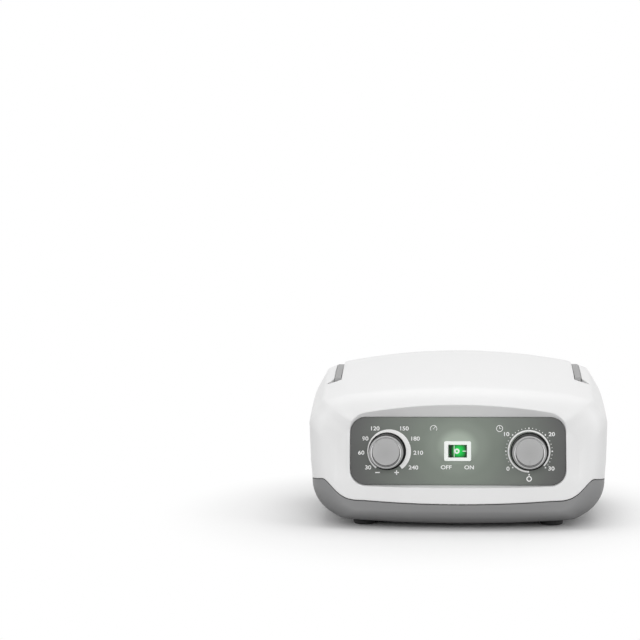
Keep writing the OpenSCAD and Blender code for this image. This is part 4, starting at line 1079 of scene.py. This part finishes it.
class PUMP_OT_rear(bpy.types.Operator):
    """Make the rear panel with its mains inlet, fuse and air outlets"""
    bl_idname = "pump.rear"
    bl_label = "Rear fittings"

    def execute(self, context):
        for node, bevel in (("rear_panel", 0.25), ("mains_inlet", 0.4), ("fuse_holder", 0.25),
                            ("fuse_cap", 0.3), ("air_sockets", 0.3), ("socket_seals", 0.15),
                            ("panel_screws", 0.12), ("inlet_pins", 0.0)):
            carried(node, bevel)
        return {"FINISHED"}


class PUMP_OT_underside(bpy.types.Operator):
    """Make the feet and the housing screws"""
    bl_idname = "pump.underside"
    bl_label = "Feet and screws"

    def execute(self, context):
        carried("rubber_feet", 0.25)
        carried("housing_screws", 0.12)
        return {"FINISHED"}


class PUMP_OT_inside(bpy.types.Operator):
    """Give the pieces inside the housing their finishes"""
    bl_idname = "pump.inside"
    bl_label = "Inner pieces"

    def execute(self, context):
        for node, piece in frame["nodes"].items():
            if not piece.hide_render:
                piece.data.materials.clear()
                piece.data.materials.append(finish_of(slot_of(node)))
        return {"FINISHED"}


# ---------------------------------------------------------------------------------------
# Stage
# ---------------------------------------------------------------------------------------
def floor_finish(look):
    """Pale floor that keeps the shadow near the pump and is plain white far from it."""
    mat = bpy.data.materials.new("Floor")
    mat.use_nodes = True
    tree = mat.node_tree
    tree.nodes.clear()
    out = add(tree, "ShaderNodeOutputMaterial")
    path = add(tree, "ShaderNodeLightPath")
    tone = add(tree, "ShaderNodeMix", {"Factor": path.outputs["Is Camera Ray"]}, data_type="RGBA")
    tone.inputs["A"].default_value = (*look.floor, 1)
    tone.inputs["B"].default_value = (0.97, 0.97, 0.97, 1)
    matt = add(tree, "ShaderNodeBsdfDiffuse", {"Color": tone.outputs["Result"]})
    white = add(tree, "ShaderNodeEmission", {"Color": (1, 1, 1, 1), "Strength": 1.0})
    place = spot(tree)
    shifted = vectors(tree, "SUBTRACT", place, FLOOR_MIDDLE)
    sides = vectors(tree, "MULTIPLY", shifted.outputs[0], FLOOR_SPREAD)
    far = vectors(tree, "LENGTH", sides.outputs[0])
    mask = add(tree, "ShaderNodeMapRange", {"Value": far.outputs["Value"], "From Min": 1.0, "From Max": 1.9},
               interpolation_type="SMOOTHSTEP")
    seen = maths(tree, "MAXIMUM", path.outputs["Is Camera Ray"], path.outputs["Is Glossy Ray"])
    part = maths(tree, "MULTIPLY", mask.outputs["Result"], seen.outputs[0])
    mix = add(tree, "ShaderNodeMixShader", {0: part.outputs[0], 1: matt.outputs[0], 2: white.outputs[0]})
    tree.links.new(mix.outputs[0], out.inputs["Surface"])
    return mat


def lamp(name, place, aim, size, power):
    """A soft square lamp that points at a place."""
    data = bpy.data.lights.new(name, "AREA")
    data.shape, data.size, data.size_y, data.energy = "RECTANGLE", size[0], size[1], power
    source = bpy.data.objects.new(name, data)
    source.location = place
    source.rotation_mode = "QUATERNION"
    source.rotation_quaternion = (Vector(aim) - Vector(place)).to_track_quat("-Z", "Y")
    bpy.context.scene.collection.objects.link(source)


class PUMP_OT_stage(bpy.types.Operator):
    """Make the floor, the lamps and the camera"""
    bl_idname = "pump.stage"
    bl_label = "Stage"

    def execute(self, context):
        look = context.scene.pump_stage
        bm = bmesh.new()
        bmesh.ops.create_grid(bm, x_segments=1, y_segments=1, size=30.0)
        floor = object_of(bm, "floor")
        floor.data.materials.append(floor_finish(look))
        floor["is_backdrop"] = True

        lamp("top_lamp", (0, 0.15, 1.5), (0, 0, 0), (1.3, 1.1), look.top)
        lamp("front_lamp", (0, -1.7, 0.7), (0, 0, 0.06), (1.4, 0.8), look.front)
        for x, power in ((1.5, look.side), (-1.5, look.side * 0.8)):
            lamp("side_lamp", (x, -0.7, 0.5), (0, 0, 0.06), (0.8, 0.8), power)

        world = bpy.data.worlds.new("Room")
        context.scene.world = world
        world.use_nodes = True
        tree = world.node_tree
        tree.nodes.clear()
        path = add(tree, "ShaderNodeLightPath")
        seen = maths(tree, "MAXIMUM", path.outputs["Is Camera Ray"], path.outputs["Is Glossy Ray"])
        both = maths(tree, "MAXIMUM", seen.outputs[0], path.outputs["Is Transmission Ray"])
        room = add(tree, "ShaderNodeBackground", {"Color": (1, 1, 1, 1), "Strength": look.world})
        white = add(tree, "ShaderNodeBackground", {"Color": (1, 1, 1, 1), "Strength": 1.0})
        mix = add(tree, "ShaderNodeMixShader", {0: both.outputs[0], 1: room.outputs[0], 2: white.outputs[0]})
        out = add(tree, "ShaderNodeOutputWorld")
        tree.links.new(mix.outputs[0], out.inputs["Surface"])

        data = bpy.data.cameras.new("camera")
        data.lens, data.sensor_width = look.lens, 36.0
        camera = bpy.data.objects.new("camera", data)
        camera.location = CAMERA_PLACE
        aim = (Matrix.Rotation(radians(CAMERA_TURN), 4, "Z") @ Matrix.Rotation(radians(CAMERA_TILT), 4, "X")
               @ Matrix.Rotation(radians(CAMERA_ROLL), 4, "Z"))
        camera.rotation_euler = aim.to_euler()
        context.scene.collection.objects.link(camera)
        context.scene.camera = camera
        context.scene.view_settings.view_transform = "Standard"
        return {"FINISHED"}


class PUMP_PT_panel(bpy.types.Panel):
    """Lists the pump's pieces and settings"""
    bl_label = "Therapy Pump"
    bl_idname = "PUMP_PT_panel"
    bl_space_type = "VIEW_3D"
    bl_region_type = "UI"
    bl_category = "Therapy Pump"

    def draw(self, context):
        for group in ("pump_housing", "pump_panel", "pump_stage"):
            box = self.layout.box()
            settings = getattr(context.scene, group)
            for name in settings.__annotations__:
                box.prop(settings, name)
        for operator in OPERATORS:
            self.layout.operator(operator.bl_idname)


SETTINGS = (("pump_housing", PumpHousingSettings), ("pump_panel", PumpPanelSettings),
            ("pump_stage", PumpStageSettings))
OPERATORS = (PUMP_OT_stage, PUMP_OT_housing, PUMP_OT_panel, PUMP_OT_dials, PUMP_OT_switch,
             PUMP_OT_handle, PUMP_OT_rear, PUMP_OT_underside, PUMP_OT_inside)


def register():
    """Adds the settings, the operators and the sidebar to Blender."""
    for name, group in SETTINGS:
        bpy.utils.register_class(group)
        setattr(bpy.types.Scene, name, bpy.props.PointerProperty(type=group))
    for item in (*OPERATORS, PUMP_PT_panel):
        bpy.utils.register_class(item)


def unregister():
    """Takes them away again."""
    for item in reversed((*OPERATORS, PUMP_PT_panel)):
        bpy.utils.unregister_class(item)
    for name, group in reversed(SETTINGS):
        delattr(bpy.types.Scene, name)
        bpy.utils.unregister_class(group)


def main():
    """Builds the whole scene and works out the measures of both models."""
    register()
    for operator in OPERATORS:
        getattr(bpy.ops.pump, operator.bl_idname.split(".")[1])()
    bpy.context.view_layer.update()
    sizes = {"cad": [list(corner) for corner in CAD_BOX],
             "visual": [list(corner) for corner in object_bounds()]}


if __name__ == "__main__":
    main()
